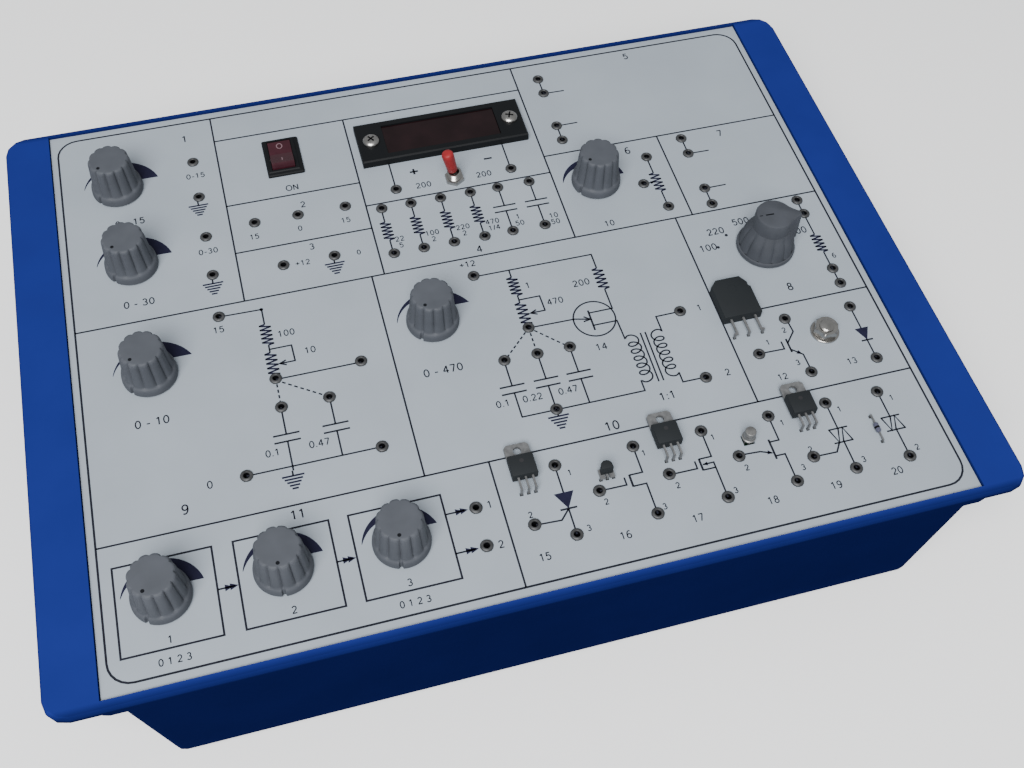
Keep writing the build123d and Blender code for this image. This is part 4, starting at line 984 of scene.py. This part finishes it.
# The text of each number, its middle and its height
NUMBERS = [
    ("0-15", -107.9, 100.5, 3.0), ("0 - 15", -139.5, 79.5, 3.6), ("0-30", -108.1, 54.8, 3.0),
    ("0 - 30", -140.1, 33.5, 3.6), ("ON", -66.3, 83.0, 3.4), ("1", -110.0, 124.8, 4.0),
    ("15", -87.3, 58.2, 2.9), ("0", -66.9, 58.2, 2.9), ("15", -46.3, 58.1, 2.9), ("2", -63.3, 71.8, 3.4),
    ("+12", -69.2, 38.6, 2.9), ("0", -44.3, 38.5, 2.6), ("3", -63.7, 46.6, 3.4), ("+", -10.3, 79.5, 6.6),
    ("–", 25.1, 79.5, 6.6), ("200", -7.7, 70.4, 3.2), ("200", 20.9, 70.4, 3.2), ("22", -25.2, 41.7, 2.8),
    ("5", -25.2, 38.0, 2.8), ("100", -10.4, 41.7, 2.8), ("2", -10.4, 38.0, 2.8), ("220", 3.7, 41.7, 2.8),
    ("2", 3.7, 38.0, 2.8), ("470", 17.4, 41.7, 2.8), ("1/4", 17.4, 38.0, 2.8), ("1", 29.4, 41.7, 2.8),
    ("50", 29.3, 37.9, 2.8), ("10", 45.3, 38.6, 2.8), ("50", 45.2, 34.9, 2.8), ("4", 7.8, 27.6, 3.8),
    ("5", 109.7, 130.3, 3.8), ("6", 90.5, 68.7, 4.0), ("10", 68.6, 28.0, 3.2), ("7", 137.2, 69.1, 3.8),
    ("100", 107.2, 3.7, 3.6), ("220", 113.7, 11.9, 3.6), ("500", 126.9, 14.8, 3.6),
    ("1000", 139.5, 11.0, 3.6), ("2200", 149.0, 3.3, 3.6), ("8", 134.6, -25.5, 4.0),
    ("6", 160.6, -13.9, 2.6), ("1", 113.9, -51.2, 2.6), ("2", 123.0, -46.9, 2.6),
    ("3", 122.4, -63.9, 2.6), ("12", 113.4, -69.0, 3.0), ("13", 145.0, -68.7, 3.0),
    ("15", -109.5, 11.4, 3.2), ("100", -82.4, 3.1, 3.2), ("10", -74.2, -7.9, 3.2),
    ("0 - 10", -141.2, -27.3, 3.8), ("0.1", -97.1, -53.2, 3.2), ("0.47", -78.5, -53.2, 3.2),
    ("0", -122.8, -61.3, 3.4), ("9", -133.3, -69.6, 4.2), ("+12", 0.4, 20.4, 3.2), ("1", 23.1, 2.8, 3.2),
    ("200", 46.1, -1.4, 3.4), ("470", 32.3, -8.2, 3.2), ("0 - 470", -22.8, -31.3, 3.8),
    ("14", 44.5, -36.0, 3.4), ("0.1", -3.1, -53.3, 3.2), ("0.22", 9.4, -53.4, 3.2),
    ("0.47", 24.6, -53.4, 3.2), ("1:1", 63.5, -66.0, 3.8), ("1", 91.8, -26.7, 3.2),
    ("2", 91.8, -61.2, 3.2), ("10", 36.9, -74.2, 4.2), ("11", -92.1, -82.2, 4.0),
    ("1", -144.7, -120.4, 3.0), ("2", -99.9, -120.4, 3.0), ("3", -56.8, -120.4, 3.0),
    ("0 1 2 3", -143.9, -128.4, 2.8), ("0 1 2 3", -56.5, -128.4, 2.8), ("1", -20.0, -96.4, 3.2),
    ("2", -20.0, -113.8, 3.2), ("1", 14.1, -90.6, 2.6), ("2", -5.9, -104.7, 2.6),
    ("3", 14.4, -115.6, 2.6), ("15", -5.3, -123.0, 3.2), ("1", 45.3, -89.4, 2.6),
    ("2", 24.3, -106.5, 2.6), ("3", 45.7, -114.1, 2.6), ("16", 27.1, -122.0, 3.2),
    ("1", 74.7, -89.3, 2.6), ("2", 53.7, -106.6, 2.6), ("3", 75.1, -114.3, 2.6),
    ("17", 56.5, -122.0, 3.2), ("1", 104.6, -89.9, 2.6), ("2", 83.0, -105.9, 2.6),
    ("3", 105.0, -111.3, 2.6), ("18", 87.8, -122.0, 3.2), ("1", 130.0, -89.6, 2.6),
    ("2", 110.9, -104.4, 2.6), ("3", 130.0, -113.9, 2.6), ("19", 114.6, -122.0, 3.2),
    ("1", 153.4, -89.7, 2.6), ("2", 153.4, -114.0, 2.6), ("20", 140.9, -122.0, 3.2),
]


def bow(cx, cy, rx, ry, first, last, steps=12):
    """Points along part of an ellipse, from one angle to another."""
    points = []
    for i in range(steps + 1):
        angle = math.radians(first + (last - first) * i / steps)
        points.append((cx + rx * math.cos(angle), cy + ry * math.sin(angle)))
    return points


# Strokes of each sign, in a box one unit high
SIGNS = {
    "0": [bow(0.28, 0.48, 0.23, 0.46, 0, 360, 20)],
    "1": [[(0.1, 0.74), (0.31, 0.93)], [(0.3, 0.95), (0.3, 0.0)]],
    "2": [bow(0.27, 0.68, 0.21, 0.26, 165, -42), [(0.43, 0.51), (0.06, 0.05)],
          [(0.03, 0.03), (0.53, 0.03)]],
    "3": [bow(0.26, 0.71, 0.19, 0.23, 155, -90), bow(0.26, 0.25, 0.23, 0.23, 90, -155)],
    "4": [[(0.39, 0.0), (0.39, 0.95)], [(0.38, 0.93), (0.03, 0.29)], [(0.02, 0.27), (0.54, 0.27)]],
    "5": [[(0.48, 0.93), (0.13, 0.93), (0.08, 0.49)], bow(0.27, 0.32, 0.23, 0.3, 140, -150)],
    "6": [bow(0.28, 0.28, 0.22, 0.27, 0, 360, 18), bow(0.33, 0.4, 0.27, 0.54, 62, 190)],
    "7": [[(0.04, 0.93), (0.51, 0.93)], [(0.5, 0.92), (0.21, 0.0)]],
    "8": [bow(0.28, 0.71, 0.18, 0.22, 0, 360, 18), bow(0.28, 0.25, 0.22, 0.24, 0, 360, 18)],
    "9": [bow(0.28, 0.66, 0.22, 0.27, 0, 360, 18), bow(0.23, 0.54, 0.27, 0.54, 242, 370)],
    ".": [[(0.08, 0.0), (0.08, 0.13)]],
    ":": [[(0.1, 0.0), (0.1, 0.13)], [(0.1, 0.5), (0.1, 0.63)]],
    "-": [[(0.03, 0.36), (0.33, 0.36)]],
    "–": [[(0.03, 0.46), (0.55, 0.46)]],
    "+": [[(0.03, 0.46), (0.55, 0.46)], [(0.29, 0.2), (0.29, 0.72)]],
    "/": [[(0.02, 0.0), (0.26, 0.95)]],
    "O": [bow(0.36, 0.48, 0.33, 0.46, 0, 360, 24)],
    "N": [[(0.06, 0.0), (0.06, 0.95)], [(0.07, 0.93), (0.54, 0.02)], [(0.55, 0.0), (0.55, 0.95)]],
    " ": [],
}
# Widths of the signs that aren't as wide as a figure, then the width of a figure, the gap
# between signs, the middle height and the thickness, in the same unit
WIDTHS = {".": 0.17, ":": 0.2, "-": 0.36, "/": 0.28, " ": 0.22, "O": 0.72, "N": 0.61}
FIGURE_WIDTH = 0.56
APART = 0.14
SIGN_MIDDLE = 0.48
SIGN_WEIGHT = 0.145
# How much wider the signs are drawn than their box, and the thinnest stroke in millimetres
SPREAD = 1.12
THINNEST = 0.42


def number_pieces():
    """Plain numbers and signs, each drawn with strokes round the middle of its place."""
    form = Form()
    for text, x, y, size in NUMBERS:
        width = sum(WIDTHS.get(sign, FIGURE_WIDTH) for sign in text) + APART * (len(text) - 1)
        left = x - width * size * SPREAD / 2
        for sign in text:
            for points in SIGNS[sign]:
                placed = [(left + px * size * SPREAD, y + (py - SIGN_MIDDLE) * size) for px, py in points]
                form.stroke(placed, max(SIGN_WEIGHT * size, THINNEST))
            left += (WIDTHS.get(sign, FIGURE_WIDTH) + APART) * size * SPREAD
    form.piece("printed_numbers", "case", [ink], smooth=0)


# Setting: floor, light and camera

def setting():
    """A pale floor, a soft sky, and one large light at the front left. Lengths are in metres."""
    floor_white = bpy.data.materials.new("floor_white")
    floor_white.use_nodes = True
    shader = floor_white.node_tree.nodes["Principled BSDF"]
    shader.inputs["Base Color"].default_value = (0.9, 0.9, 0.9, 1)
    shader.inputs["Roughness"].default_value = 0.9
    mesh = bpy.data.meshes.new("floor")
    reach = 6.0
    corners = [(-reach, -reach, 0), (reach, -reach, 0), (reach, reach, 0), (-reach, reach, 0)]
    mesh.from_pydata(corners, [], [(0, 1, 2, 3)])
    mesh.materials.append(floor_white)
    floor = bpy.data.objects.new("floor", mesh)
    scene.collection.objects.link(floor)
    world = bpy.data.worlds.new("soft_sky")
    world.use_nodes = True
    nodes = world.node_tree.nodes
    links = world.node_tree.links
    where = nodes.new("ShaderNodeTexCoord")
    split = nodes.new("ShaderNodeSeparateXYZ")
    ramp = nodes.new("ShaderNodeValToRGB")
    ramp.color_ramp.elements[0].position = 0.0
    ramp.color_ramp.elements[0].color = (0.82, 0.84, 0.87, 1)
    ramp.color_ramp.elements[1].position = 0.9
    ramp.color_ramp.elements[1].color = (0.95, 0.98, 1.0, 1)
    links.new(where.outputs["Generated"], split.inputs["Vector"])
    links.new(split.outputs["Z"], ramp.inputs["Fac"])
    links.new(ramp.outputs["Color"], nodes["Background"].inputs["Color"])
    nodes["Background"].inputs["Strength"].default_value = 0.5
    scene.world = world
    light("front", place=(-0.6, -1.2, 1.9), target=(0, 0, 0), size=1.4, power=105)


def light(name, place, target, size, power):
    """A square light that faces its target. Lengths are in metres, power in watts."""
    data = bpy.data.lights.new(name, "AREA")
    data.shape = "SQUARE"
    data.size = size
    data.energy = power
    lamp = bpy.data.objects.new(name, data)
    lamp.location = place
    lamp.rotation_euler = (Vector(target) - Vector(place)).to_track_quat("-Z", "Y").to_euler()
    scene.collection.objects.link(lamp)


def camera():
    """The photograph's own view, from the camera fitted to the printed border."""
    right = Vector((0.96431685, -0.26307782, 0.02971647))
    down = Vector((-0.20492847, -0.81277054, -0.54535161))
    ahead = Vector((0.16762259, 0.51980199, -0.83768046))
    data = bpy.data.cameras.new("view")
    data.lens = 42.54
    data.sensor_width = 36
    data.sensor_fit = "HORIZONTAL"
    place = Vector((-80.5, -303.9, 484.3)) * MM
    turn = Matrix((right, -down, -ahead)).transposed().to_4x4()
    eye = bpy.data.objects.new("view", data)
    eye.matrix_world = Matrix.Translation(place) @ turn
    scene.collection.objects.link(eye)
    scene.camera = eye


for node, material in CARRIED.items():
    carry(node, material, SOFT_EDGES.get(node, 0.0))
socket_pieces()
for name in KNOBS:
    fluted_knob(name)
selector_knob()
rocker_pieces()
toggle_pieces()
meter_pieces()
power_package()
small_packages()
can_package()
stud_hardware()
diac()
print_pieces()
number_pieces()
setting()
camera()
